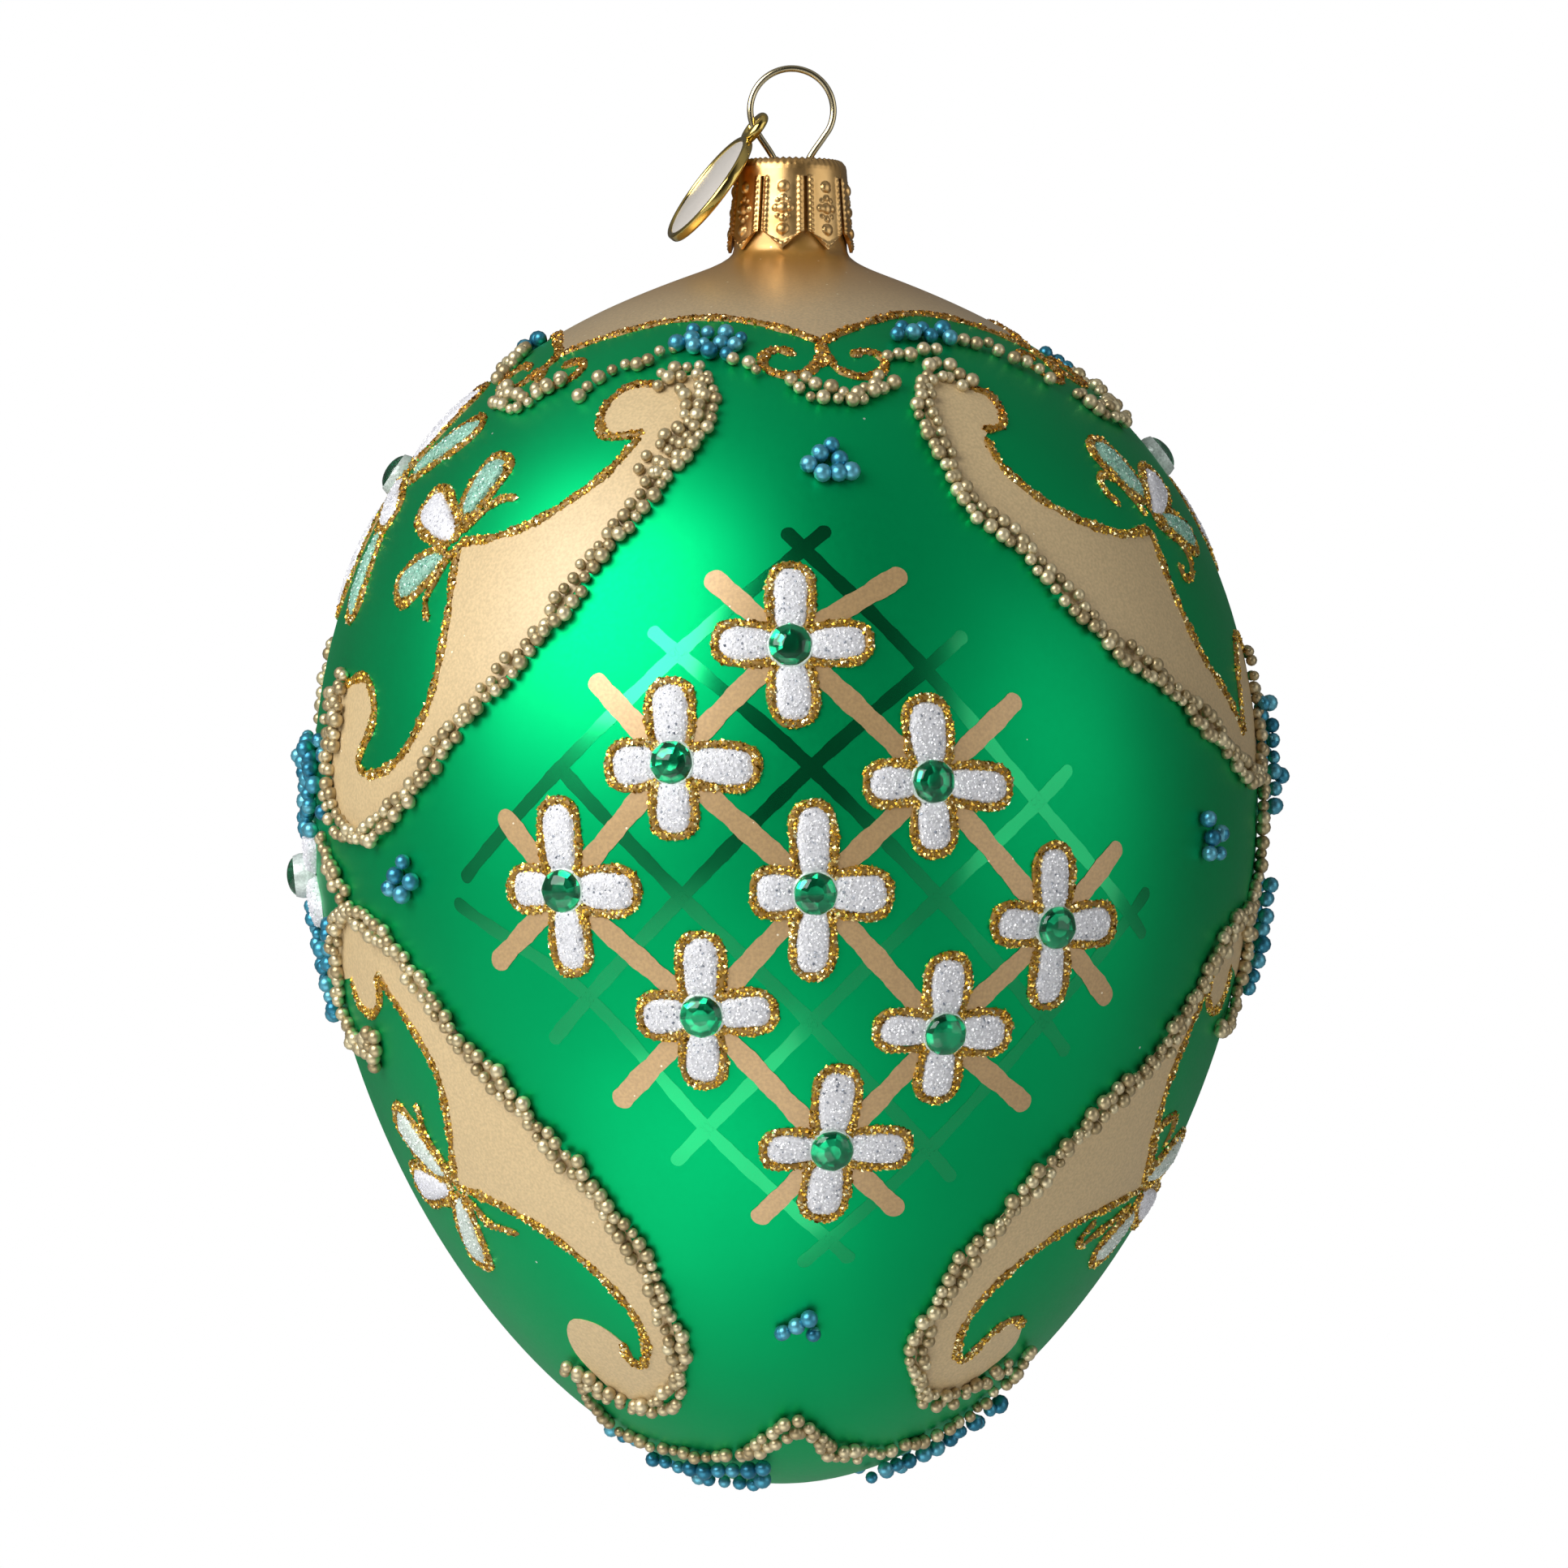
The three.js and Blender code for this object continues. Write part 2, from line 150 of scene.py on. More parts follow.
# Each scroll cartouche of a panel: its bead row, the stretch of the row that bounds the paint, its glittered
# edge as runs between sharp points, and the last of the edge, which is bare paint
CARTOUCHES = {
    "upper_left": {
        "beads": [(-26.5, -31.7), (-20, -31), (-16, -34), (-19, -39), (-25.5, -45.5), (-34, -55), (-45, -63.5),
                  (-54.5, -70.5), (-63, -73), (-70, -72), (-73, -67.5), (-74, -60)],
        "stretch": (0, 12), "bare": [],
        "scrolls": [
            [(-26.5, -31.7), (-32, -32), (-34.4, -34.2), (-32, -36.6), (-25.3, -36.4)],
            [(-26, -36.8), (-30, -40.5), (-38, -44.4), (-44.6, -45.9), (-51, -46.3)],
            [(-51, -46.3), (-49.2, -54), (-50, -60.5), (-53.5, -65), (-57.5, -67), (-62.2, -67.6)],
            [(-62.2, -67.6), (-64.4, -66.5), (-61.6, -63), (-61.6, -61), (-65, -58.6), (-74, -60)],
        ],
    },
    "upper_right": {
        "beads": [(29, -31.7), (24, -30.4), (19, -33), (18.5, -37), (21, -42.5), (28, -47), (37, -54),
                  (48.5, -59), (61, -64.3), (70, -66.8), (77, -66), (80, -62), (80, -55)],
        "stretch": (0, 13), "bare": [],
        "scrolls": [
            [(29, -31.7), (32.4, -32.2), (33, -33.8), (31.5, -35.2), (27.5, -35.7)],
            [(27.3, -36.4), (28.5, -39.3), (35, -42.8), (46.3, -44.9), (53.4, -44.2)],
            [(53.4, -44.2), (54, -50), (57.5, -55.5), (64, -59.6), (69.3, -63)],
            [(69.3, -63), (69.4, -60), (71, -56), (75, -53.5), (80, -55)],
        ],
    },
    "lower_left": {
        "beads": [(-70.9, -94), (-68.2, -91.6), (-73, -92.4), (-77.5, -92), (-79.6, -89.6), (-77.4, -86.7),
                  (-75.6, -83.4), (-71, -80.6), (-66, -80.4), (-57, -83.6),
                  (-48.5, -90.7), (-38, -98.7), (-30, -106), (-25, -112.5), (-24, -119.5), (-27.5, -123.6),
                  (-37, -125.4), (-48, -125), (-56, -122)],
        "stretch": (5, 18),
        "bare": [(-36.2, -119.4), (-38.5, -118.3), (-41.5, -117.6), (-46, -117.5), (-49.5, -118.8),
                 (-51.3, -120.8), (-50, -123.2)],
        "scrolls": [
            [(-72.4, -86.4), (-71.6, -88.6), (-68.4, -89.7), (-64.6, -88.5), (-63.6, -85.7)],
            [(-63.6, -85.7), (-57.5, -90.7), (-54.5, -95), (-55.5, -99.5), (-59.7, -105.4)],
            [(-59.7, -105.4), (-53, -106.2), (-43, -108.8), (-35.6, -112.5), (-31, -116.5), (-30.8, -119.5),
             (-34, -121.9)],
            [(-34, -121.9), (-36.5, -121), (-36.2, -119.4)],
        ],
    },
    "lower_right": {
        "beads": [(71, -90.5), (77, -89.5), (79, -86), (77, -82), (73, -79.6), (65, -81.5), (52.3, -92.2),
                  (43, -97.4), (33.4, -105), (26.7, -111.5), (23.8, -117.5), (26, -121.3), (35, -124.5),
                  (45, -124.4), (54, -121.8)],
        "stretch": (2, 14), "bare": [(50, -118.1), (52.3, -120), (50, -122.2)],
        "scrolls": [
            [(71, -84.5), (70.5, -87.5), (67, -88.8), (63.5, -87.5), (62.5, -85)],
            [(62.5, -85), (60, -90), (58.3, -94.5), (59.5, -99.5), (64.8, -105.4)],
            [(64.8, -105.4), (55, -106.9), (46.8, -108.4), (39, -111.5), (34, -115.2), (33.2, -118),
             (36, -121)],
            [(36, -121), (38.6, -121), (40.2, -119.8), (42.4, -118.1), (46, -117.3), (50, -118.1)],
        ],
    },
}

# Bead lines at the diamond's two side corners, and the blue clusters
CORNER_BEADS = [
    [(-75.5, -73.1), (-74.1, -75.3), (-70.5, -77), (-68.4, -79.7)],
    [(79, -67.5), (78, -70.5), (79, -74), (76.5, -78.5)],
    [(-20.5, -32.4), (-18.4, -34), (-20.4, -37), (-23, -40.2)],
    [(-71.5, -58), (-71, -62), (-71.4, -65)],
]
BLUE_CLUSTERS = [
    [(2.6, -37.9), (0.7, -38.7), (-0.9, -39.8), (1, -40.6), (3.1, -40.5), (5, -40.4), (3.6, -39.2)],
    [(-53.4, -75.3), (-54.7, -76.7), (-52.1, -77.1), (-56.4, -77.7), (-53.8, -78.4)],
    [(56, -72.5), (58.3, -72.1), (55.5, -74), (58.1, -73.9), (54.7, -70.7)],
    [(-3, -117.5), (-0.8, -116.7), (1.4, -116), (2.5, -117.5)],
]
# Blue beads beside the waist flowers, each with its turn, height and lift off the glass
SIDE_BLUE = [
    (-89.3, -64.4, 0.7), (-77, -64.4, 0.7), (-89, -65.9, 1.5), (-82, -65.2, 1.2), (-75, -65.7, 0.7),
    (-86, -66.5, 1.2), (-79, -67, 1.1), (-89.3, -67.4, 0.9), (-83, -67.9, 0.9), (-78, -68.5, 0.8),
    (-89.3, -68.7, 0.7), (-88, -70, 0.7), (-80, -70.5, 0.9), (-74.5, -71, 0.7), (-84, -71.3, 0.8),
    (-79, -72.7, 0.9), (-89.3, -79.9, 0.7), (-89, -81.2, 0.8), (-76, -81.4, 0.7), (-76, -82.4, 0.9),
    (-84, -83.9, 0.7), (-77.5, -83.8, 0.8), (-88, -85.6, 0.7), (-79, -85.1, 0.8), (-84, -87.1, 0.9),
    (-89, -89.5, 0.7), (82, -60.2, 1.6), (80, -60, 1.1), (82, -62.2, 1.6), (82, -63.6, 1.6), (82, -65.1, 1.5),
    (82, -66.4, 1.5), (83, -66.8, 2.3), (82, -68, 1.5), (82, -69.7, 1.6), (82, -77, 1.6), (82, -78.3, 1.5),
    (82, -79.8, 1.7), (82, -81.1, 1.5), (82, -82.6, 1.7), (82, -84, 1.5), (82, -85.4, 1.5), (82, -86.6, 1.4),
    (69, -128.4, 0.9), (73, -127.6, 0.9), (77, -126.6, 0.9), (80, -126, 1.1), (78, -127.6, 1.0),
]
BLUE_COLUMNS = [
    [(-91.5, -64), (-91, -73.2)], [(-83, -65), (-83.5, -72.6)], [(-90.5, -80.2), (-89.5, -90)],
    [(85.5, -60.4), (85.5, -70)], [(86, -77), (85, -86.6)],
]

# Lower garland, as degrees from the panel's middle and millimetres, with the number of beads abreast
LOW_GARLAND = [
    ([(-56.2, -123.5), (-60.3, -125.7), (-62.5, -127.7), (-61, -129.2), (-54.6, -129.9), (-45.7, -130.2),
      (-36.4, -130.4), (-25.8, -130.4), (-17.9, -130.1)], 1),
    ([(-17.9, -130.2), (-11.3, -129.5), (-6.7, -128.6), (-2.8, -127.6), (0.8, -126.9), (6, -127.8),
      (10.3, -128.8), (16.7, -129.7), (26.4, -130)], 2),
    ([(26.4, -130), (35.8, -130), (44.7, -129.4), (52.6, -128.8), (57.7, -127.8), (63.5, -126.7), (62, -125),
      (64.3, -123.8), (61.6, -121.7), (59.2, -120.2)], 1),
]
LOW_BLUE = [
    [(-66, -131.1), (-50, -131.5), (-36, -131.7), (-20, -131.4), (-10, -130.9)],
    [(-56, -132.9), (-40, -133), (-24, -133), (-12, -132.4)],
    [(48, -131.5), (60, -131.1), (68, -130.4), (75, -129.4)],
    [(54, -132.5), (68, -131.7)],
]

# Varnish lines of a panel, four falling to the right and four rising
GLOSS_LINES = [
    [(-4.1, -45.3), (12.8, -57.7), (26.7, -69.5), (44.6, -81.6)],
    [(-19.9, -54.3), (-0.6, -66.5), (16.5, -79.5), (34.8, -92.2)],
    [(-30.6, -66.3), (-15.3, -78.1), (-0.1, -89.2), (21.3, -103.6)],
    [(-45.6, -78.8), (-28, -86.9), (-13.5, -98.8), (7.8, -111.1)],
    [(1.8, -45.1), (-17, -57), (-31, -67.5), (-44, -77)],
    [(18.1, -54.4), (-0.6, -66.5), (-15.3, -78.1), (-33.4, -91.4)],
    [(31.2, -66.2), (13, -79), (-0.1, -89.2), (-18.5, -102.2)],
    [(44.3, -77.2), (29, -90), (16.2, -101), (-0.6, -111.5)],
]

# Flowers on the cartouches' outer points. A petal: turn, height, heading, half width and half length.
# The two leaves are mint, or pale on the lower flowers
VERTEX_FLOWERS = [
    {"white": (-57.6, -44.0, 150, 2.1, 3.9), "leaf": "mint",
     "leaves": [(-50.8, -41.2, 76, 1.8, 3.1), (-57.4, -49.1, 213, 1.8, 3.1)],
     "tendrils": [[(-51.4, -45.4), (-49.3, -44.1), (-47.2, -42.8), (-45.6, -42.3), (-43, -42.3)],
                  [(-51.6, -46.8), (-53.2, -49.2), (-54.1, -50.7), (-54.4, -51.6), (-53, -53.5)]]},
    {"white": (61.3, -40.8, 40, 2.0, 3.5), "leaf": "mint",
     "leaves": [(53.6, -38.8, 122, 1.8, 3.4), (63.4, -43.9, 340, 1.5, 3.2)],
     "tendrils": [[(54.4, -43), (52.6, -41.1), (50.6, -39.7), (47.8, -39.4), (46.5, -40.1), (46.9, -41.1),
                   (48.8, -42.2)],
                  [(56.4, -43.7), (61.6, -45.3), (62.8, -46.5), (61.6, -48.2), (58.8, -48.6), (58.4, -47.3)]]},
    {"white": (-68.2, -105.6, 180, 2.0, 3.7), "leaf": "pale",
     "leaves": [(-66, -101.8, 132, 1.8, 4.1), (-62.3, -109.6, 251, 1.6, 3.8)],
     "tendrils": [[(-59.8, -104), (-61.7, -102), (-62.7, -100), (-62.3, -98.6), (-62.3, -97.7)],
                  [(-59, -106), (-56.7, -107.4), (-55.5, -108.6), (-52.4, -109.1), (-48.8, -109.5)]]},
    {"white": (72.8, -107, 345, 2.0, 3.7), "leaf": "pale",
     "leaves": [(71, -103, 25, 1.8, 3.9), (64.8, -109.8, 233, 1.7, 3.1)],
     "tendrils": [[(64.5, -103.6), (61.6, -101), (61.2, -99.5), (63.4, -98.7), (65.4, -98.6), (66.8, -99.8),
                   (66.2, -101.6)],
                  [(63.7, -106.8), (60.9, -107.9), (58.2, -108.7), (55.4, -109.6), (53.3, -110.5), (51.6, -110),
                   (52.4, -109), (53.6, -108)]]},
]

# Gold strips over three stones each: lattice line, whether it falls to the right, and its two loose ends
STRIPS = [
    (1, True, (-13.3, -49.4), (40.1, -87.5)), (0, True, (-26.6, -58.6), (30.3, -97)),
    (-1, True, (-38, -70.7), (14.2, -106.6)), (-1, False, (-40.3, -84.7), (11.1, -49)),
    (0, False, (-25.4, -96.9), (24.4, -60)), (1, False, (-7.4, -107.4), (38.8, -73.1)),
]

# Petals of the lattice flowers: heading and length from the stone's middle
LATTICE_PETALS = [(90, 7.1), (180, 5.8), (270, 6.7), (0, 6.7)]
PETAL_VARIETY = 0.11

# Flower round each upper side stone: turn, height, size of the whole and the sides it has petals on.
# Its petals, as degrees and millimetres from the stone, heading, half width and half length
SIDE_FLOWERS = [(-90, -39.2, 1.0, (1, -1)), (88, -36.6, 0.8, (1,))]
SIDE_PETAL_GAP = 5
SIDE_PETALS = {
    "white": [(8.5, 4.6, 84, 3.0, 4.8), (1, -7.6, 270, 2.6, 5.6), (11, -2.6, 325, 2.0, 4.2)],
    "mint": [(21, 2.0, 33, 1.7, 5.0), (14.5, -9.4, 274, 1.6, 4.4)],
}
WAIST_PLACE_Z = -77.0
WAIST_PETALS = [(45, 6.2), (135, 4.6), (225, 4.6), (315, 6.2)]

# Heights of the paint and paste over the glass, and how deep they reach into it
PAINT_HEIGHT = 0.09
SHOULDER_HEIGHT = 0.05
STRIP_HEIGHT = 0.06
GLOSS_HEIGHT = 0.015
GLITTER_HEIGHT = 0.28
LATTICE_PETAL_HEIGHT = 0.42
SIDE_PETAL_HEIGHT = 0.6
WAIST_PETAL_HEIGHT = 1.1
SINK = 0.08

# Start of the shoulder's paint below the rim, and how much the width of a line wavers
PAINT_BELOW_RIM = 0.6
PAINT_WOBBLE = 0.1
GLITTER_WOBBLE = 0.26

# Widths of glitter lines as shares of the usual one, and the shift of a petal's edge line as a share of its width
CURL_WIDTH = 1.05
STEM_WIDTH = 1.3
TENDRIL_WIDTH = 0.8
LATTICE_EDGE_WIDTH = 0.84
PETAL_EDGE_SHIFT = 0.45

# Petals: width of the near end as a share of the far end, start from the stone's middle, and width of the
# waist's petals as a share of the lattice's
LATTICE_PETAL_WAIST = 0.84
FREE_PETAL_WAIST = 0.5
LATTICE_PETAL_START = STONE_RADIUS * 0.6
WAIST_PETAL_START = 0.6
WAIST_PETAL_WIDTH = 1.35

# Steps of the points along lines on the glass
LINE_STEP = 0.5
FINE_STEP = 0.4
GLOSS_STEP = 0.6
FILM_STEP = 0.8
BEAD_STEP = 0.3

# Height of a bead's middle over the glass and distance of rows, as shares of a bead's diameter
BEAD_LIFT = 0.45
LOW_BLUE_LIFT = 0.6
ROW_GAP = 0.84

# Outlines over a stone's foot, as radius and height: its foil, the glue round a stone of the lattice, and
# the glue round a side stone
FOIL_CUT = [(0, -0.1), (1.66, -0.1), (1.66, 0.1), (1.25, 0.42), (0.7, 0.56), (0, 0.56)]
FLAT_GLUE = [(2.1, -0.1), (1.98, 0.04), (0, 0.04)]
HIGH_GLUE = [(2.14, 0.15), (1.93, 0.78), (1.78, 0.74), (1.72, 0.04), (0, 0.04)]
GLUE_RADIUS = 2.12

# Stamped bumps of a cap tab: place across and down it, radius and height
CAP_BUMPS = [
    (0, 1.7, 0.54, 0.3), (0, 5.8, 0.54, 0.3), (0, 3.75, 0.5, 0.28), (-0.66, 3.75, 0.34, 0.22),
    (0.66, 3.75, 0.34, 0.22), (0, 2.75, 0.3, 0.18), (0, 4.75, 0.3, 0.18), (-0.5, 4.5, 0.22, 0.14),
    (0.5, 4.5, 0.22, 0.14), (-0.5, 3.0, 0.22, 0.14), (0.5, 3.0, 0.22, 0.14),
]

# Each kind of petal: colour of its glue, flakes to the square metre and colours of the flakes, picked by each
# flake's random tone, which is partly a painted glint
PETAL_KINDS = {
    "speckled": ((0.76, 0.76, 0.79), 10e6, [(0.0, (0.16, 0.18, 0.22)), (0.10, (0.44, 0.47, 0.52)),
                                           (0.16, (0.88, 0.89, 0.92)), (1.0, (1.0, 1.0, 1.0))]),
    "white": ((0.84, 0.84, 0.88), 5e6, [(0.0, (0.66, 0.66, 0.72)), (0.4, (0.84, 0.84, 0.88)),
                                       (1.0, (0.98, 0.98, 1.0))]),
    "pale": ((0.66, 0.75, 0.68), 8e6, [(0.0, (0.50, 0.62, 0.54)), (0.5, (0.72, 0.80, 0.74)),
                                      (1.0, (0.96, 0.98, 0.94))]),
    "mint": ((0.30, 0.56, 0.44), 11e6, [(0.0, (0.10, 0.34, 0.25)), (0.3, (0.26, 0.56, 0.43)),
                                       (0.7, (0.42, 0.70, 0.57)), (1.0, (0.74, 0.90, 0.80))]),
}

# Flakes of gold to the square metre, and colours: ramps by each flake's or bead's random tone, which is partly a
# painted glint, or by patches of the surface, glue and dust
GLITTER_DENSITY = 10.5e6
GLITTER_STOPS = [(0.0, (0.20, 0.09, 0.006)), (0.3, (0.70, 0.40, 0.04)), (0.7, (1.0, 0.68, 0.14)),
                 (1.0, (1.0, 0.94, 0.6))]
SHOULDER_GLITTER_TINT = (0.78, 0.62, 0.55)
SHOULDER_GLITTER_Z = (-40, -33)
GOLD_BEAD_STOPS = [(0.0, (0.38, 0.29, 0.15)), (0.5, (0.54, 0.44, 0.25)), (1.0, (0.71, 0.61, 0.38))]
BLUE_BEAD_STOPS = [(0.0, (0.02, 0.17, 0.27)), (0.5, (0.05, 0.29, 0.42)), (1.0, (0.14, 0.46, 0.58))]
CAP_STOPS = [(0.3, (0.60, 0.34, 0.11)), (0.7, (0.80, 0.53, 0.23))]
WIRE_STOPS = [(0.3, (0.58, 0.48, 0.27)), (0.7, (0.80, 0.70, 0.47))]
TAG_STOPS = [(0.3, (0.60, 0.42, 0.10)), (0.7, (0.82, 0.62, 0.20))]
GOLD_GLUE = (0.30, 0.16, 0.02)
PALE_GLUE = (0.66, 0.74, 0.70)
DUST = (0.62, 0.78, 0.66)
GOLD_DUST = (0.95, 0.84, 0.62)

# Each light: turn and rise in degrees, distance, width and height in metres, and power
LIGHTS = {
    "key_softbox": (-52, 31, 0.9, 0.84, 0.64, 10.5),
    "low_bounce": (-30, -54, 0.24, 0.24, 0.18, 0.17),
    "right_fill": (62, 4, 1.1, 0.9, 1.0, 2.6),
}

# The room's brightness from behind a direction to the direction itself, the floor, and the photo's width and
# sideways shift in pixels
ROOM_FACING = (-0.10, -0.87, 0.48)
ROOM_STOPS = ((0.0, 0.09), (0.25, 0.11), (0.5, 0.17), (0.66, 0.30), (0.81, 0.34), (0.92, 0.04), (1.0, 0.02))
FLOOR_STOPS = [(0.3, (0.60, 0.60, 0.60)), (0.7, (0.64, 0.64, 0.64))]
FLOOR_RADIUS = 1000
PHOTO_SIZE = 1932
PHOTO_SHIFT = -1.8


# Shape of the glass

def around(count):
    return np.linspace(0, 2 * math.pi, count, endpoint=False)


def unit(vectors):
    return vectors / np.linalg.norm(vectors, axis=-1, keepdims=True)


def lengths_along(points):
    """How far along a line each of its points is."""
    return np.concatenate([[0], np.cumsum(np.linalg.norm(np.diff(points, axis=0), axis=1))])


def quadratic_bend(start, control, end, steps=16):
    t = np.linspace(0, 1, steps)[:, None]
    return (1 - t) ** 2 * np.array(start) + 2 * t * (1 - t) * np.array(control) + t * t * np.array(end)


def egg_curve_radius(z):
    u = (z - EGG_MIDDLE) / EGG_HALF
    round_part = np.sqrt(np.maximum(1 - u * u, 0))
    return EGG_MIDDLE_RADIUS * round_part * (1 + EGG_FULLNESS * u + EGG_SHOULDER_LIFT * u ** 3)


def glass_profile(body_steps):
    """(radius, height) points of the outside of the glass, from its foot to the neck's rim."""
    last = math.acos((SHOULDER_END_Z - EGG_MIDDLE) / EGG_HALF)
    z = EGG_MIDDLE + EGG_HALF * np.cos(np.linspace(math.pi, last, body_steps))
    body = np.stack([egg_curve_radius(z), z], -1)
    shoulder = quadratic_bend(FILLET_END, SHOULDER_BEND, body[-1])[::-1]
    fillet = quadratic_bend(NECK_BASE, FILLET_BEND, FILLET_END)[::-1]
    return np.vstack([body, shoulder[1:], fillet[1:], [NECK_RIM]])


PROFILE = glass_profile(4000)
PROFILE_SLOPE = np.clip(np.gradient(PROFILE[:, 0], PROFILE[:, 1]), -12, 12)
PROFILE_LENGTH = lengths_along(PROFILE)


def glass_radius(z):
    return np.interp(z, PROFILE[:, 1], PROFILE[:, 0])


def on_glass(turn, z, lift=0.0):
    """Points at turns in degrees and heights, lifted off the glass, and the way out of the glass there."""
    turn = np.radians(np.asarray(turn, float))
    z = np.asarray(z, float)
    slope = np.interp(z, PROFILE[:, 1], PROFILE_SLOPE)
    out = unit(np.stack([np.sin(turn), -np.cos(turn), -slope], -1))
    r = glass_radius(z)
    foot = np.stack([r * np.sin(turn), -r * np.cos(turn), z], -1)
    return foot + out * np.asarray(lift)[..., None], out


def settle(points, lift=0.0):
    """Put loose points onto the glass, at their own height."""
    points = np.asarray(points, float)
    turn = np.degrees(np.arctan2(points[..., 0], -points[..., 1]))
    return on_glass(turn, points[..., 2], lift)


def smooth_curve(knots, samples=14):
    """A centripetal curve through the knots."""
    knots = np.asarray(knots, float)
    ends = np.vstack([2 * knots[0] - knots[1], knots, 2 * knots[-1] - knots[-2]])
    parts = []
    for i in range(len(knots) - 1):
        four = ends[i:i + 4]
        gaps = [max(np.linalg.norm(q - p), 1e-6) ** 0.5 for p, q in zip(four, four[1:])]
        times = [0.0, gaps[0], gaps[0] + gaps[1], gaps[0] + gaps[1] + gaps[2]]
        t = np.linspace(times[1], times[2], samples, endpoint=False)[:, None]

        def between(p, q, start, end):
            a, b = times[start], times[end]
            return (b - t) / (b - a) * p + (t - a) / (b - a) * q

        first = [between(four[k], four[k + 1], k, k + 1) for k in range(3)]
        second = [between(first[k], first[k + 1], k, k + 2) for k in range(2)]
        parts.append(between(*second, 1, 2))
    return np.vstack(parts + [knots[-1:]])


def even(points, step, round_end=0.0):
    """The same line with points a step apart, and closer ones where a rounded end needs them."""
    lengths = lengths_along(points)
    end = lengths[-1]
    count = max(int(round(end / step)), 3)
    at = np.linspace(0, end, count + 1)
    if round_end:
        near = round_end * np.array([0.03, 0.12, 0.28, 0.5, 0.75, 1.0])
        inner = at[(at > near[-1]) & (at < end - near[-1])]
        at = np.unique(np.concatenate([at[[0, -1]], near, end - near, inner]))
    return np.stack([np.interp(at, lengths, points[:, k]) for k in range(3)], -1)


def trail(places, step=LINE_STEP, round_end=0.0):
    """Evenly spaced points on the glass along a smooth line through (turn, height) places."""
    places = np.asarray(places, float)
    knots = on_glass(places[:, 0], places[:, 1])[0]
    return settle(even(settle(smooth_curve(knots))[0], step, round_end))[0]


def turned(points, degrees):
    a = math.radians(degrees)
    turn = np.array([[math.cos(a), -math.sin(a), 0], [math.sin(a), math.cos(a), 0], [0, 0, 1]])
    return np.asarray(points) @ turn.T


def sideways(path, offset):
    """The line moved sideways over the glass."""
    out = settle(path)[1]
    along = np.gradient(path, axis=0)
    side = unit(np.cross(out, along))
    return settle(path + side * np.asarray(offset).reshape(-1, 1))[0]


def spot_frame(turn, z):
    """A place on the glass with its right, up and outward directions."""
    place, out = on_glass(turn, z)
    a = math.radians(turn)
    right = np.array([math.cos(a), math.sin(a), 0])
    return place, right, np.cross(out, right), out


def lattice_places():
    return [lattice_place(i, j) for i in (-1, 0, 1) for j in (-1, 0, 1)]


def lattice_place(i, j):
    """A place of the diamond lattice, counted along its two slanting directions."""
    across = (i + j) / 2
    down = (i - j) / 2
    turn = across * LATTICE_HALF_WIDTH + down * LATTICE_COLUMN_LEAN
    sag = across * across * LATTICE_ROW_SAG + down * down * LATTICE_COLUMN_SAG
    return turn, LATTICE_MIDDLE_Z - down * LATTICE_HALF_HEIGHT - across * LATTICE_ROW_DROP - sag


def scallop_z(turn):
    lobe = np.abs(np.sin(np.radians(3 * (np.asarray(turn) - CUSP_TURN)))) ** SCALLOP_ROUND
    return CUSP_Z + SCALLOP_RISE * lobe + SCALLOP_TILT * np.sin(np.radians(turn))


# Mesh building

def in_scene(name, data):
    thing = bpy.data.objects.new(name, data)
    bpy.context.scene.collection.objects.link(thing)
    return thing


class Heap:
    """Vertices and faces gathered for one piece, in millimetres."""

    def __init__(self):
        self.verts = []
        self.faces = []
        self.count = 0

    def add(self, verts, faces, turns=(0,)):
        for degrees in turns:
            self.verts.append(turned(verts, degrees))
            self.faces.extend([[i + self.count for i in face] for face in faces])
            self.count += len(verts)

    def set(self, shape, axes, foot):
        """Add a shape stood on its own axes at a place."""
        verts, faces = shape
        self.add(verts @ axes + foot, faces)

    def to_mesh(self, name):
        mesh = bpy.data.meshes.new(name)
        mesh.from_pydata((np.vstack(self.verts) * MM).tolist(), [], self.faces)
        return mesh

    def to_object(self, name, material, smooth_angle=40):
        mesh = self.to_mesh(name)
        mesh.validate()
        mesh.shade_smooth()
        mesh.set_sharp_from_angle(angle=math.radians(smooth_angle))
        mesh.materials.append(material)
        return in_scene(name, mesh)


def ring_faces(rings, width, closed_round=True, closed_along=False):
    """Quads between rings of points laid one after another."""
    faces = []
    last = rings if closed_along else rings - 1
    for i in range(last):
        j = (i + 1) % rings
        for k in range(width if closed_round else width - 1):
            m = (k + 1) % width
            faces.append([i * width + k, j * width + k, j * width + m, i * width + m])
    return faces


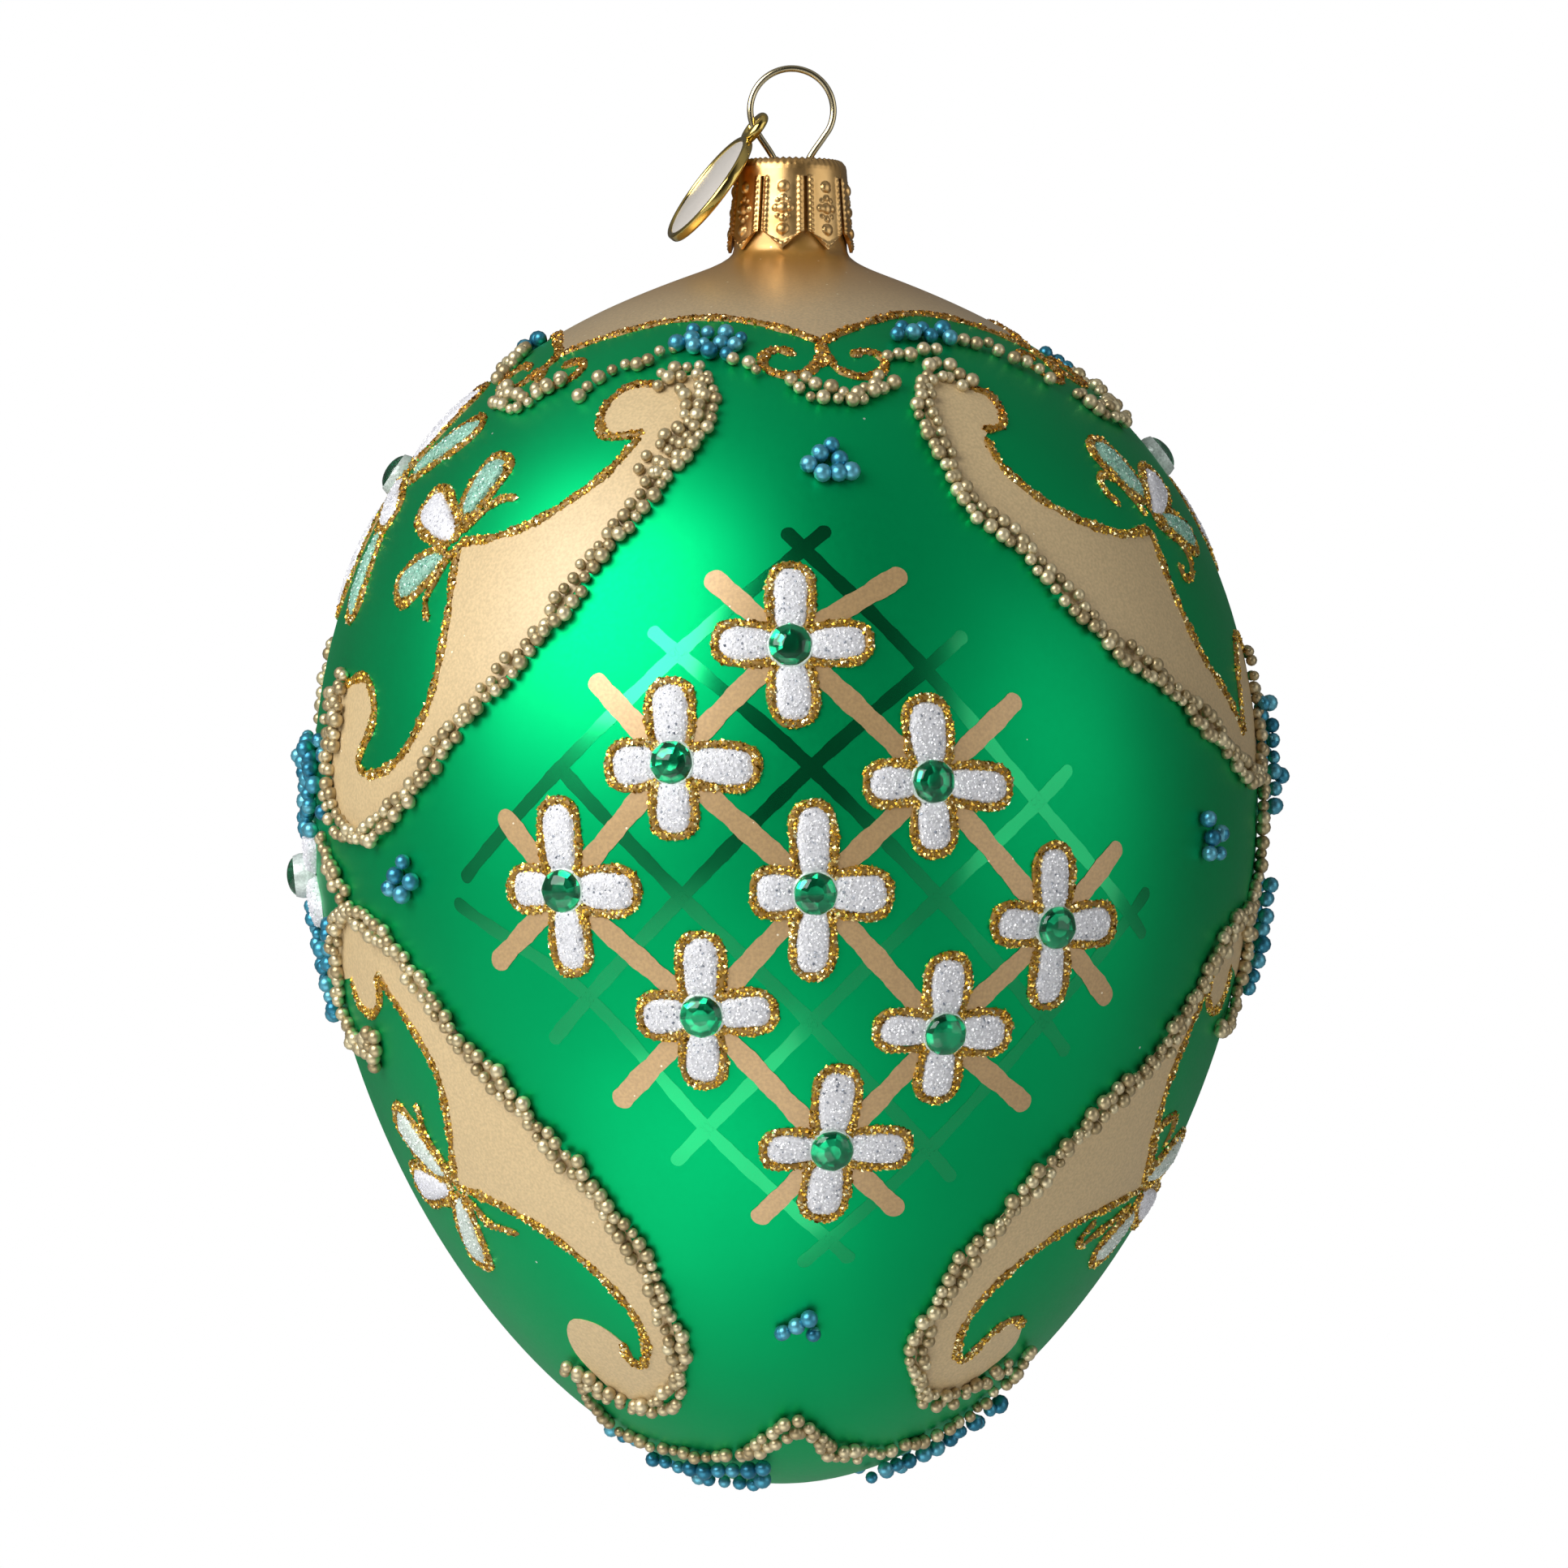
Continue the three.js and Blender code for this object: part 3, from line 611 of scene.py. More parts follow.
def ridge(path, width, height, wobble=0.0, seed=0, flat=False):
    """A low line of paint or glue on the glass, closed all round. Returns verts, faces and its top faces."""
    distance = lengths_along(path)
    half = np.full(len(path), width / 2)
    wave = np.sin(distance * 1.9 + seed * 1.7) + np.sin(distance * 0.83 + seed * 2.9)
    wave = wave + 0.6 * np.sin(distance * 4.7 + seed)
    half = half * (1 + wobble * 0.5 * wave)
    near = np.minimum(distance, distance[-1] - distance)
    inside = np.clip(near / (width / 2), 0.02, 1)
    half = half * np.sqrt(1 - (1 - inside) ** 2)
    across = np.array([-1, -0.75, 0, 0.75, 1])
    rise = np.ones(5) if flat else np.sqrt(1 - across ** 2)
    lines = []
    for x, up in zip(across, rise):
        line = sideways(path, x * half)
        lift = height * up * (1 if flat else np.minimum(half / (width / 2), 1.2))
        lines.append(settle(line, lift)[0])
    for x in (0.9, -0.9):
        lines.append(settle(sideways(path, x * half), -SINK)[0])
    verts = np.stack(lines, 1).reshape(-1, 3)
    ring = len(lines)
    rings = len(path)
    faces = [face[::-1] for face in ring_faces(rings, ring)]
    faces.append(list(range(ring)))
    faces.append(list(range((rings - 1) * ring, rings * ring))[::-1])
    top = len(across)
    top_faces = []
    for i in range(rings - 1):
        for k in range(top - 1):
            top_faces.append([i * ring + k + 1, (i + 1) * ring + k + 1, (i + 1) * ring + k, i * ring + k])
    return verts, faces, top_faces


def film(edge, thickness, grid=1.5):
    """A thin closed film over the part of the glass inside a closed line of points."""
    turn = np.degrees(np.arctan2(edge[:, 0], -edge[:, 1]))
    middle_radius = glass_radius(edge[:, 2]).mean()
    along = np.interp(edge[:, 2], PROFILE[:, 1], PROFILE_LENGTH)
    flat = np.stack([np.radians(turn) * middle_radius, along], -1)
    low, high = flat.min(0), flat.max(0)
    xs, ys = np.meshgrid(np.arange(low[0], high[0], grid), np.arange(low[1], high[1], grid))
    inner = np.stack([xs.ravel(), ys.ravel()], -1)
    gap = np.linalg.norm(inner[:, None] - flat[None], axis=2).min(1)
    inner = inner[gap > grid * 0.45]
    places = [tuple(p) for p in np.vstack([flat, inner])]
    count = len(flat)
    cut = delaunay_2d_cdt([Vector(p) for p in places],
                          [(i, (i + 1) % count) for i in range(count)], [], 1, 1e-5)
    xy = np.array([tuple(v) for v in cut[0]])
    triangles = [list(face) for face in cut[2]]
    z = np.interp(xy[:, 1], PROFILE_LENGTH, PROFILE[:, 1])
    spin = np.degrees(xy[:, 0] / middle_radius)
    top = on_glass(spin, z, np.full(len(z), thickness))[0]
    bottom = on_glass(spin, z, np.full(len(z), -SINK))[0]
    faces = []
    seen = {}
    size = len(xy)
    for a, b, c in triangles:
        (x1, y1), (x2, y2) = xy[b] - xy[a], xy[c] - xy[a]
        tri = [a, b, c] if x1 * y2 - x2 * y1 > 0 else [a, c, b]
        faces.append(tri)
        faces.append([i + size for i in tri[::-1]])
        for p, q in zip(tri, tri[1:] + tri[:1]):
            seen[(p, q)] = seen.get((p, q), 0) + 1
    for p, q in seen:
        if (q, p) not in seen:
            faces.append([q, p, p + size, q + size])
    return np.vstack([top, bottom]), faces


def petal_outline(length, half_width, start, waist=0.66, points=30):
    """A club-shaped petal along +X from the stone's edge to a round tip, as (x, y) points."""
    t = around(points)
    square = np.sign(np.cos(t)) * np.abs(np.cos(t)) ** 0.62
    x = start + (length - start) * (0.5 - 0.5 * square)
    along = (x - start) / (length - start)
    y = half_width * np.sign(np.sin(t)) * np.abs(np.sin(t)) ** 0.8 * (waist + (1 - waist) * along)
    return np.stack([x, y], -1)


def laid_flat(turn, z, heading, outline, lift=0.0):
    """Put an (x, y) outline on the glass at a place, turned to a heading from the right, upwards."""
    place, right, up, _ = spot_frame(turn, z)
    a = math.radians(heading)
    x = outline[:, 0] * math.cos(a) - outline[:, 1] * math.sin(a)
    y = outline[:, 0] * math.sin(a) + outline[:, 1] * math.cos(a)
    loose = place + x[:, None] * right + y[:, None] * up
    return settle(loose, lift)[0]


def pillow(turn, z, heading, outline, height):
    """A puffed petal over an outline, closed underneath. Returns verts, faces and its top faces."""
    middle = outline.mean(0)
    scales = (1.0, 0.82, 0.5, 0.16)
    lifts = (0.05, 0.75 * height, 0.97 * height, height)
    rings = [laid_flat(turn, z, heading, middle + (outline - middle) * 0.97, -SINK)]
    for scale, lift in zip(scales, lifts):
        rings.append(laid_flat(turn, z, heading, middle + (outline - middle) * scale, lift))
    verts = np.vstack(rings)
    width = len(outline)
    faces = [face[::-1] for face in ring_faces(len(rings), width)]
    faces.append(list(range(width))[::-1])
    last = (len(rings) - 1) * width
    faces.append(list(range(last, last + width)))
    top = [face for face in faces if min(face) >= width]
    return verts, faces, top


def grown(outline, amount):
    """The outline pushed out by an amount, square to its edge."""
    along = np.roll(outline, -1, 0) - np.roll(outline, 1, 0)
    out = np.stack([-along[:, 1], along[:, 0]], -1)
    out /= np.maximum(np.linalg.norm(out, axis=1, keepdims=True), 1e-9)
    return outline + out * amount


def lathe(profile, sides):
    """A closed turned shape from (radius, height) points that start and end on the axis or form a ring."""
    profile = np.asarray(profile, float)
    on_axis = profile[0, 0] == 0
    body = profile[1:-1] if on_axis else profile
    a = around(sides)
    verts = np.stack([np.outer(body[:, 0], np.cos(a)), np.outer(body[:, 0], np.sin(a)),
                      np.repeat(body[:, 1:], sides, 1)], -1).reshape(-1, 3)
    faces = [face[::-1] for face in ring_faces(len(body), sides, closed_along=not on_axis)]
    if on_axis:
        first = len(verts)
        verts = np.vstack([verts, [[0, 0, profile[0, 1]], [0, 0, profile[-1, 1]]]])
        top = (len(body) - 1) * sides
        for k in range(sides):
            m = (k + 1) % sides
            faces.append([first, m, k])
            faces.append([first + 1, top + k, top + m])
    return verts, faces


def tube(path, radius, sides, closed=False):
    """A round tube along points, with flat ends unless it closes on itself."""
    path = np.asarray(path, float)
    if closed:
        along = np.roll(path, -1, 0) - np.roll(path, 1, 0)
    else:
        along = np.gradient(path, axis=0)
    along = unit(along)
    normal = np.cross(along[0], [0.13, 1.0, 0.07])
    rings = []
    for point, way in zip(path, along):
        normal = unit(normal - way * normal.dot(way))
        other = np.cross(way, normal)
        a = around(sides)[:, None]
        rings.append(point + radius * (np.cos(a) * normal + np.sin(a) * other))
    verts = np.vstack(rings)
    faces = [face[::-1] for face in ring_faces(len(path), sides, closed_along=closed)]
    if not closed:
        faces.append(list(range(sides))[::-1])
        faces.append(list(range((len(path) - 1) * sides, len(path) * sides)))
    return verts, faces


# Node trees

def add_node(tree, kind, **settings):
    node = tree.nodes.new(kind)
    for key, value in settings.items():
        setattr(node, key, value)
    return node


def join(tree, *pairs):
    for source, target in pairs:
        tree.links.new(source, target)


def new_tree(name, inputs):
    tree = bpy.data.node_groups.new(name, "GeometryNodeTree")
    tree.interface.new_socket("Geometry", in_out="INPUT", socket_type="NodeSocketGeometry")
    for label, kind, value in inputs:
        socket = tree.interface.new_socket(label, in_out="INPUT", socket_type=kind)
        if value is not None:
            socket.default_value = value
    tree.interface.new_socket("Geometry", in_out="OUTPUT", socket_type="NodeSocketGeometry")
    return tree, tree.nodes.new("NodeGroupInput"), tree.nodes.new("NodeGroupOutput")


def ball_node(tree, segments, rings):
    node = add_node(tree, "GeometryNodeMeshUVSphere")
    node.inputs["Segments"].default_value = segments
    node.inputs["Rings"].default_value = rings
    return node


def random_value(tree, kind, low, high, seed):
    node = add_node(tree, "FunctionNodeRandomValue", data_type=kind)
    offset = 0 if kind == "FLOAT_VECTOR" else 2
    node.inputs[offset].default_value = low
    node.inputs[offset + 1].default_value = high
    node.inputs["Seed"].default_value = seed
    return node.outputs["Value"] if kind == "FLOAT_VECTOR" else node.outputs[1]


def tell_apart(tree, geometry, seed):
    """Give each copy its own random number, which its material reads as an attribute: a random tone that is
    partly a painted glint.
    """
    store = add_node(tree, "GeometryNodeStoreNamedAttribute", data_type="FLOAT", domain="INSTANCE")
    store.inputs["Name"].default_value = "tone_and_glint"
    join(tree, (geometry, store.inputs["Geometry"]),
         (random_value(tree, "FLOAT", 0.0, 1.0, seed), store.inputs["Value"]))
    return store.outputs["Geometry"]


def close_tree(tree, geometry, group_in, group_out):
    realize = tree.nodes.new("GeometryNodeRealizeInstances")
    paint = tree.nodes.new("GeometryNodeSetMaterial")
    join(tree, (geometry, realize.inputs[0]), (realize.outputs[0], paint.inputs["Geometry"]),
         (group_in.outputs["Material"], paint.inputs["Material"]), (paint.outputs[0], group_out.inputs[0]))


def flake_tree():
    """Scatters small eight-sided flakes over a surface, each tipped its own way."""
    tree, group_in, group_out = new_tree("glitter_flakes", [
        ("Density", "NodeSocketFloat", 1e7), ("Flake Size", "NodeSocketFloat", 0.0002),
        ("Tip", "NodeSocketFloat", 0.6), ("Seed", "NodeSocketInt", 1),
        ("Material", "NodeSocketMaterial", None)])
    given = group_in.outputs
    scatter = add_node(tree, "GeometryNodeDistributePointsOnFaces")
    flake = ball_node(tree, 4, 2)
    flatten = add_node(tree, "GeometryNodeTransform")
    flatten.inputs["Scale"].default_value = (1.0, 1.0, 0.55)
    place = add_node(tree, "GeometryNodeInstanceOnPoints")
    tip = add_node(tree, "FunctionNodeRotateRotation", rotation_space="LOCAL")
    spread = add_node(tree, "ShaderNodeVectorMath", operation="SCALE")
    turn = add_node(tree, "FunctionNodeEulerToRotation")
    join(tree, (given["Geometry"], scatter.inputs["Mesh"]), (given["Density"], scatter.inputs["Density"]),
         (given["Seed"], scatter.inputs["Seed"]), (given["Flake Size"], flake.inputs["Radius"]),
         (flake.outputs["Mesh"], flatten.inputs["Geometry"]),
         (scatter.outputs["Points"], place.inputs["Points"]),
         (flatten.outputs["Geometry"], place.inputs["Instance"]),
         (random_value(tree, "FLOAT_VECTOR", (-1, -1, -3), (1, 1, 3), 11), spread.inputs[0]),
         (given["Tip"], spread.inputs["Scale"]), (spread.outputs["Vector"], turn.inputs[0]),
         (scatter.outputs["Rotation"], tip.inputs["Rotation"]), (turn.outputs[0], tip.inputs["Rotate By"]),
         (tip.outputs[0], place.inputs["Rotation"]),
         (random_value(tree, "FLOAT", 0.6, 1.3, 12), place.inputs["Scale"]))
    close_tree(tree, tell_apart(tree, place.outputs["Instances"], 13), group_in, group_out)
    return tree


def bead_tree():
    """Strings beads along lines, each a little out of place and of its own size."""
    tree, group_in, group_out = new_tree("bead_rows", [
        ("Bead Radius", "NodeSocketFloat", 0.0006), ("Spacing", "NodeSocketFloat", 0.0012),
        ("Jitter", "NodeSocketFloat", 0.0001), ("Material", "NodeSocketMaterial", None)])
    given = group_in.outputs
    to_curve = add_node(tree, "GeometryNodeMeshToCurve")
    spaced = add_node(tree, "GeometryNodeResampleCurve", mode="LENGTH")
    shake = add_node(tree, "GeometryNodeSetPosition")
    amount = add_node(tree, "ShaderNodeVectorMath", operation="SCALE")
    bead = ball_node(tree, 10, 6)
    place = add_node(tree, "GeometryNodeInstanceOnPoints")
    join(tree, (given["Geometry"], to_curve.inputs["Mesh"]),
         (to_curve.outputs["Curve"], spaced.inputs["Curve"]), (given["Spacing"], spaced.inputs["Length"]),
         (spaced.outputs["Curve"], shake.inputs["Geometry"]),
         (random_value(tree, "FLOAT_VECTOR", (-1, -1, -1), (1, 1, 1), 21), amount.inputs[0]),
         (given["Jitter"], amount.inputs["Scale"]), (amount.outputs["Vector"], shake.inputs["Offset"]),
         (given["Bead Radius"], bead.inputs["Radius"]), (shake.outputs["Geometry"], place.inputs["Points"]),
         (bead.outputs["Mesh"], place.inputs["Instance"]),
         (random_value(tree, "FLOAT", 0.74, 1.14, 22), place.inputs["Scale"]))
    close_tree(tree, tell_apart(tree, place.outputs["Instances"], 23), group_in, group_out)
    return tree


def grow(carrier, tree, values, name, smooth):
    """Run a tree on a carrier object and keep its result as a plain mesh piece."""
    modifier = carrier.modifiers.new(tree.name, "NODES")
    modifier.node_group = tree
    for item in tree.interface.items_tree:
        if item.item_type == "SOCKET" and item.in_out == "INPUT" and item.name in values:
            modifier[item.identifier] = values[item.name]
    depsgraph = bpy.context.evaluated_depsgraph_get()
    mesh = bpy.data.meshes.new_from_object(carrier.evaluated_get(depsgraph))
    mesh.name = name
    if smooth:
        mesh.shade_smooth()
    else:
        mesh.shade_flat()
    old = carrier.data
    carrier.modifiers.clear()
    bpy.data.objects.remove(carrier)
    bpy.data.meshes.remove(old)
    return in_scene(name, mesh)


def skin_carrier(name, skins):
    heap = Heap()
    for verts, faces, turns in skins:
        used = sorted({i for face in faces for i in face})
        index = {v: k for k, v in enumerate(used)}
        heap.add(verts[used], [[index[i] for i in face] for face in faces], turns)
    return in_scene(name, heap.to_mesh(name))


def line_carrier(name, lines):
    verts = []
    edges = []
    count = 0
    for line in lines:
        verts.append(np.asarray(line) * MM)
        edges.extend((count + i, count + i + 1) for i in range(len(line) - 1))
        count += len(line)
    mesh = bpy.data.meshes.new(name)
    mesh.from_pydata(np.vstack(verts).tolist(), edges, [])
    return in_scene(name, mesh)


def keep(piece, slot, *nodes):
    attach(piece, "root")
    if nodes:
        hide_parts(*nodes)


# Materials

def shader_group(name, inputs, outputs):
    """A new group of shader nodes that take and give plain numbers, with its two ends."""
    group = bpy.data.node_groups.new(name, "ShaderNodeTree")
    for labels, way in ((inputs, "INPUT"), (outputs, "OUTPUT")):
        for label in labels:
            group.interface.new_socket(label, in_out=way, socket_type="NodeSocketFloat")
    return group, group.nodes.new("NodeGroupInput").outputs, group.nodes.new("NodeGroupOutput").inputs


def grain_group():
    """Fine grain: a value that changes over the surface and a bump height."""
    group = bpy.data.node_groups.get("fine_grain")
    if group:
        return group
    group, given, made = shader_group("fine_grain", ("Scale", "Patch Scale"), ("Grain", "Patches"))
    where = add_node(group, "ShaderNodeTexCoord")
    for label, output, detail in (("Scale", "Grain", 3.0), ("Patch Scale", "Patches", 2.0)):
        noise = add_node(group, "ShaderNodeTexNoise")
        noise.inputs["Detail"].default_value = detail
        join(group, (where.outputs["Object"], noise.inputs["Vector"]), (given[label], noise.inputs["Scale"]),
             (noise.outputs["Fac"], made[output]))
    return group


def speck_group():
    """Tiny bright specks of dust and stray glitter."""
    group = bpy.data.node_groups.get("dust_specks")
    if group:
        return group
    group, given, made = shader_group("dust_specks", ("Scale", "Size", "Share"), ("Specks",))
    where = add_node(group, "ShaderNodeTexCoord")
    cells = add_node(group, "ShaderNodeTexVoronoi")
    pick = add_node(group, "ShaderNodeSeparateColor")
    small = add_node(group, "ShaderNodeMath", operation="LESS_THAN")
    few = add_node(group, "ShaderNodeMath", operation="LESS_THAN")
    both = add_node(group, "ShaderNodeMath", operation="MULTIPLY")
    join(group, (where.outputs["Object"], cells.inputs["Vector"]), (given["Scale"], cells.inputs["Scale"]),
         (cells.outputs["Distance"], small.inputs[0]), (given["Size"], small.inputs[1]),
         (cells.outputs["Color"], pick.inputs[0]), (pick.outputs[0], few.inputs[0]),
         (given["Share"], few.inputs[1]), (small.outputs[0], both.inputs[0]), (few.outputs[0], both.inputs[1]),
         (both.outputs[0], made["Specks"]))
    return group


class Finish:
    """A material with its shader and short ways to wire it."""

    def __init__(self, name, grain=None, patches=None, **plain):
        self.material = bpy.data.materials.new(name)
        self.material.use_nodes = True
        self.tree = self.material.node_tree
        self.shader = self.tree.nodes["Principled BSDF"]
        for socket, value in plain.items():
            self.shader.inputs[socket.replace("_", " ")].default_value = value
        if grain:
            made = self.group(grain_group(), Scale=grain, Patch_Scale=patches).outputs
            self.grain, self.patches = made["Grain"], made["Patches"]

    def add(self, kind, **settings):
        return add_node(self.tree, kind, **settings)

    def group(self, tree, **values):
        node = self.add("ShaderNodeGroup", node_tree=tree)
        for key, value in values.items():
            node.inputs[key.replace("_", " ")].default_value = value
        return node

    def ramp(self, source, stops):
        node = self.add("ShaderNodeValToRGB")
        elements = node.color_ramp.elements
        while len(elements) < len(stops):
            elements.new(0.5)
        for element, (place, colour) in zip(elements, stops):
            element.position = place
            element.color = (*colour, 1.0)
        join(self.tree, (source, node.inputs[0]))
        return node.outputs[0]

    def shades(self, source, colour, dark, low=0.35, high=0.65):
        """A colour and its darker shade, changing with a value."""
        return self.ramp(source, [(low, tuple(c * dark for c in colour)), (high, tuple(colour))])

    def span(self, source, low, high):
        node = self.add("ShaderNodeMapRange")
        node.inputs["To Min"].default_value = low
        node.inputs["To Max"].default_value = high
        join(self.tree, (source, node.inputs["Value"]))
        return node.outputs[0]

    def blend(self, mask, first, second):
        node = self.add("ShaderNodeMix", data_type="RGBA")
        join(self.tree, (mask, node.inputs[0]))
        for socket, value in ((node.inputs[6], first), (node.inputs[7], second)):
            if isinstance(value, tuple):
                socket.default_value = (*value, 1.0)
            else:
                join(self.tree, (value, socket))
        return node.outputs[2]

    def bump(self, source, strength, distance):
        node = self.add("ShaderNodeBump")
        node.inputs["Strength"].default_value = strength
        node.inputs["Distance"].default_value = distance
        join(self.tree, (source, node.inputs["Height"]))
        join(self.tree, (node.outputs[0], self.shader.inputs["Normal"]))

    def set(self, socket, source):
        join(self.tree, (source, self.shader.inputs[socket]))

    def height(self, low, high):
        """From 0 at one height of the piece to 1 at another."""
        split = self.add("ShaderNodeSeparateXYZ")
        join(self.tree, (self.add("ShaderNodeTexCoord").outputs["Object"], split.inputs[0]))
        node = self.add("ShaderNodeMapRange", interpolation_type="SMOOTHSTEP")
        node.inputs["From Min"].default_value = low
        node.inputs["From Max"].default_value = high
        join(self.tree, (split.outputs["Z"], node.inputs["Value"]))
        return node.outputs[0]

    # Each flake's or bead's random tone, which is partly a painted glint
    def tone_and_glint(self):
        return self.add("ShaderNodeAttribute", attribute_name="tone_and_glint").outputs["Fac"]


def lacquer_finish(colours):
    finish = Finish("satin_green_lacquer", 2600.0, 45.0, Specular_IOR_Level=0.1, Metallic=0.88)
    specks = finish.group(speck_group(), Scale=420.0, Size=0.05, Share=0.05)
    base = finish.shades(finish.patches, colours.lacquer, 0.86, 0.3, 0.7)
    finish.set("Base Color", finish.blend(specks.outputs[0], base, DUST))
    finish.set("Roughness", finish.span(finish.grain, 0.40, 0.50))
    finish.bump(finish.grain, 0.05, 0.03 * MM)
    return finish.material


def gloss_finish(colours):
    finish = Finish("gloss_green_varnish", 700.0, 90.0, Metallic=0.95, Coat_Weight=0.4, Coat_Roughness=0.1)
    finish.set("Base Color", finish.shades(finish.patches, colours.gloss, 0.8, 0.3, 0.7))
    finish.set("Roughness", finish.span(finish.patches, 0.16, 0.26))
    return finish.material


def paint_finish(name, colour, metallic, roughness, dust, coat=0.6, neck=None):
    finish = Finish(name, 3600.0, 120.0, Metallic=metallic, Coat_Weight=coat, Coat_Roughness=0.32)
    specks = finish.group(speck_group(), Scale=900.0, Size=0.09, Share=dust)
    base = finish.shades(finish.grain, colour, 0.82)
    # Painted shade and reflection of the cap: the colour turns to the darker neck colour towards the neck
    if neck:
        base = finish.blend(finish.height(CAP_SHADE_FADE_Z * MM, NECK_BASE[1] * MM), base, neck)
    finish.set("Base Color", finish.blend(specks.outputs[0], base, GOLD_DUST))
    finish.set("Roughness", finish.span(finish.patches, roughness, roughness + 0.1))
    finish.bump(finish.grain, 0.14, 0.04 * MM)
    return finish.material


def flake_finish(name, stops, metallic, roughness, upper=None):
    finish = Finish(name, Metallic=metallic, Roughness=roughness)
    # Each flake's colour from its random tone, partly a painted glint
    base = finish.ramp(finish.tone_and_glint(), stops)
    if upper:
        low, high = SHOULDER_GLITTER_Z
        base = finish.blend(finish.height(low * MM, high * MM), base, finish.ramp(finish.tone_and_glint(), upper))
    finish.set("Base Color", base)
    return finish.material


def glue_finish(name, colour, roughness):
    finish = Finish(name, 3800.0, 400.0, Metallic=0.2)
    finish.set("Base Color", finish.shades(finish.grain, colour, 0.72, high=0.62))
    finish.set("Roughness", finish.span(finish.patches, roughness, roughness + 0.15))
    finish.bump(finish.grain, 0.5, 0.1 * MM)
    return finish.material


def bead_finish(name, stops):
    finish = Finish(name, 4200.0, 1500.0, Metallic=0.65)
    # Each bead's colour from its random tone, partly a painted glint
    finish.set("Base Color", finish.ramp(finish.tone_and_glint(), stops))
    finish.set("Roughness", finish.span(finish.patches, 0.26, 0.42))
    return finish.material


def metal_finish(name, stops, low, high, scale):
    finish = Finish(name, scale * 6, scale, Metallic=1.0)
    finish.set("Base Color", finish.ramp(finish.patches, stops))
    finish.set("Roughness", finish.span(finish.grain, low, high))
    finish.bump(finish.grain, 0.06, 0.03 * MM)
    return finish.material


def enamel_finish(colours):
    finish = Finish("pale_enamel", 900.0, 220.0, Roughness=0.18, Coat_Weight=0.5, Coat_Roughness=0.05)
    finish.set("Base Color", finish.shades(finish.patches, colours.enamel, 0.93))
    return finish.material


def clear_finish():
    finish = Finish("clear_glue", 900.0, 300.0, Transmission_Weight=1.0, IOR=1.46, Metallic=0.0,
                    Base_Color=(0.93, 0.98, 0.95, 1.0))
    finish.set("Roughness", finish.span(finish.patches, 0.0, 0.05))
    light = finish.add("ShaderNodeLightPath")
    through = finish.add("ShaderNodeBsdfTransparent")
    mix = finish.add("ShaderNodeMixShader")
    surface = finish.tree.nodes["Material Output"].inputs["Surface"]
    join(finish.tree, (light.outputs["Is Shadow Ray"], mix.inputs[0]),
         (finish.shader.outputs[0], mix.inputs[1]), (through.outputs[0], mix.inputs[2]),
         (mix.outputs[0], surface))
    return finish.material


def foil_finish(colours):
    finish = Finish("green_foil", 1500.0, 500.0, Metallic=0.92, Roughness=0.12)
    finish.set("Base Color", finish.shades(finish.patches, colours.stone, 0.3))
    return finish.material


# Settings

def length(label, about, value):
    return FloatProperty(name=label, description=about, default=value, unit="LENGTH")


def angle(label, about, degrees):
    return FloatProperty(name=label, description=about, default=math.radians(degrees), unit="ROTATION")


def tint(label, about, value):
    return FloatVectorProperty(name=label, description=about, subtype="COLOR", default=value)


class EggSizes(bpy.types.PropertyGroup):
    """Widths and sizes of the ornament, in metres"""
    strip_width: length("Gold strip width", "Painted lattice strips", 1.95 * MM)
    gloss_width: length("Gloss line width", "Gloss lattice lines", 1.3 * MM)
    glitter_width: length("Glitter line width", "Glitter outlines", 0.95 * MM)
    petal_width: length("Petal width", "White lattice petals", 3.35 * MM)
    gold_bead: length("Gold bead diameter", "Small beads in rows", 1.28 * MM)
    blue_bead: length("Blue bead diameter", "Beads in clusters", 1.55 * MM)
    flake: length("Gold flake size", "Gold glitter flakes", 0.42 * MM)
    fine_flake: length("Fine flake size", "White and mint glitter", 0.30 * MM)
    seed: IntProperty(name="Seed", description="Placing of glitter", default=4)


class EggColours(bpy.types.PropertyGroup):
    """Colours of the finishes"""
    lacquer: tint("Lacquer", "Satin green", (0.0, 0.445, 0.136))
    gloss: tint("Gloss lines", "Gloss green", (0.0, 0.46, 0.14))
    gold_paint: tint("Gold paint", "Painted gold", (0.67, 0.50, 0.265))
    strip: tint("Strips", "Bronze gold of the lattice", (0.57, 0.37, 0.17))
    shoulder: tint("Shoulder", "Gold round the neck", (0.80, 0.60, 0.34))
    # Painted shade and reflection of the cap: the darker gold the shoulder turns to towards the neck
    neck: tint("Neck", "Shaded gold at the neck", (0.50, 0.26, 0.05))
    enamel: tint("Enamel", "Tag face", (0.82, 0.76, 0.69))
    stone: tint("Stone", "Foil under the stones", (0.006, 0.47, 0.19))


class EggStage(bpy.types.PropertyGroup):
    """Camera, light and floor"""
    camera_distance: length("Camera distance", "From the egg's axis", 0.6)
    camera_height: length("Camera height", "Below the loop", -0.068)
    camera_turn: angle("Camera turn", "Round the egg", -3.5)
    camera_roll: angle("Camera roll", "Lean of the picture", -0.54)
    view_height: length("View height", "Height in the picture at the axis", 0.14973)
    floor_drop: length("Floor drop", "Floor below the loop", 0.30)


def settings():
    scene = bpy.context.scene
    return scene.egg_sizes, scene.egg_colours, scene.egg_stage


# Operators

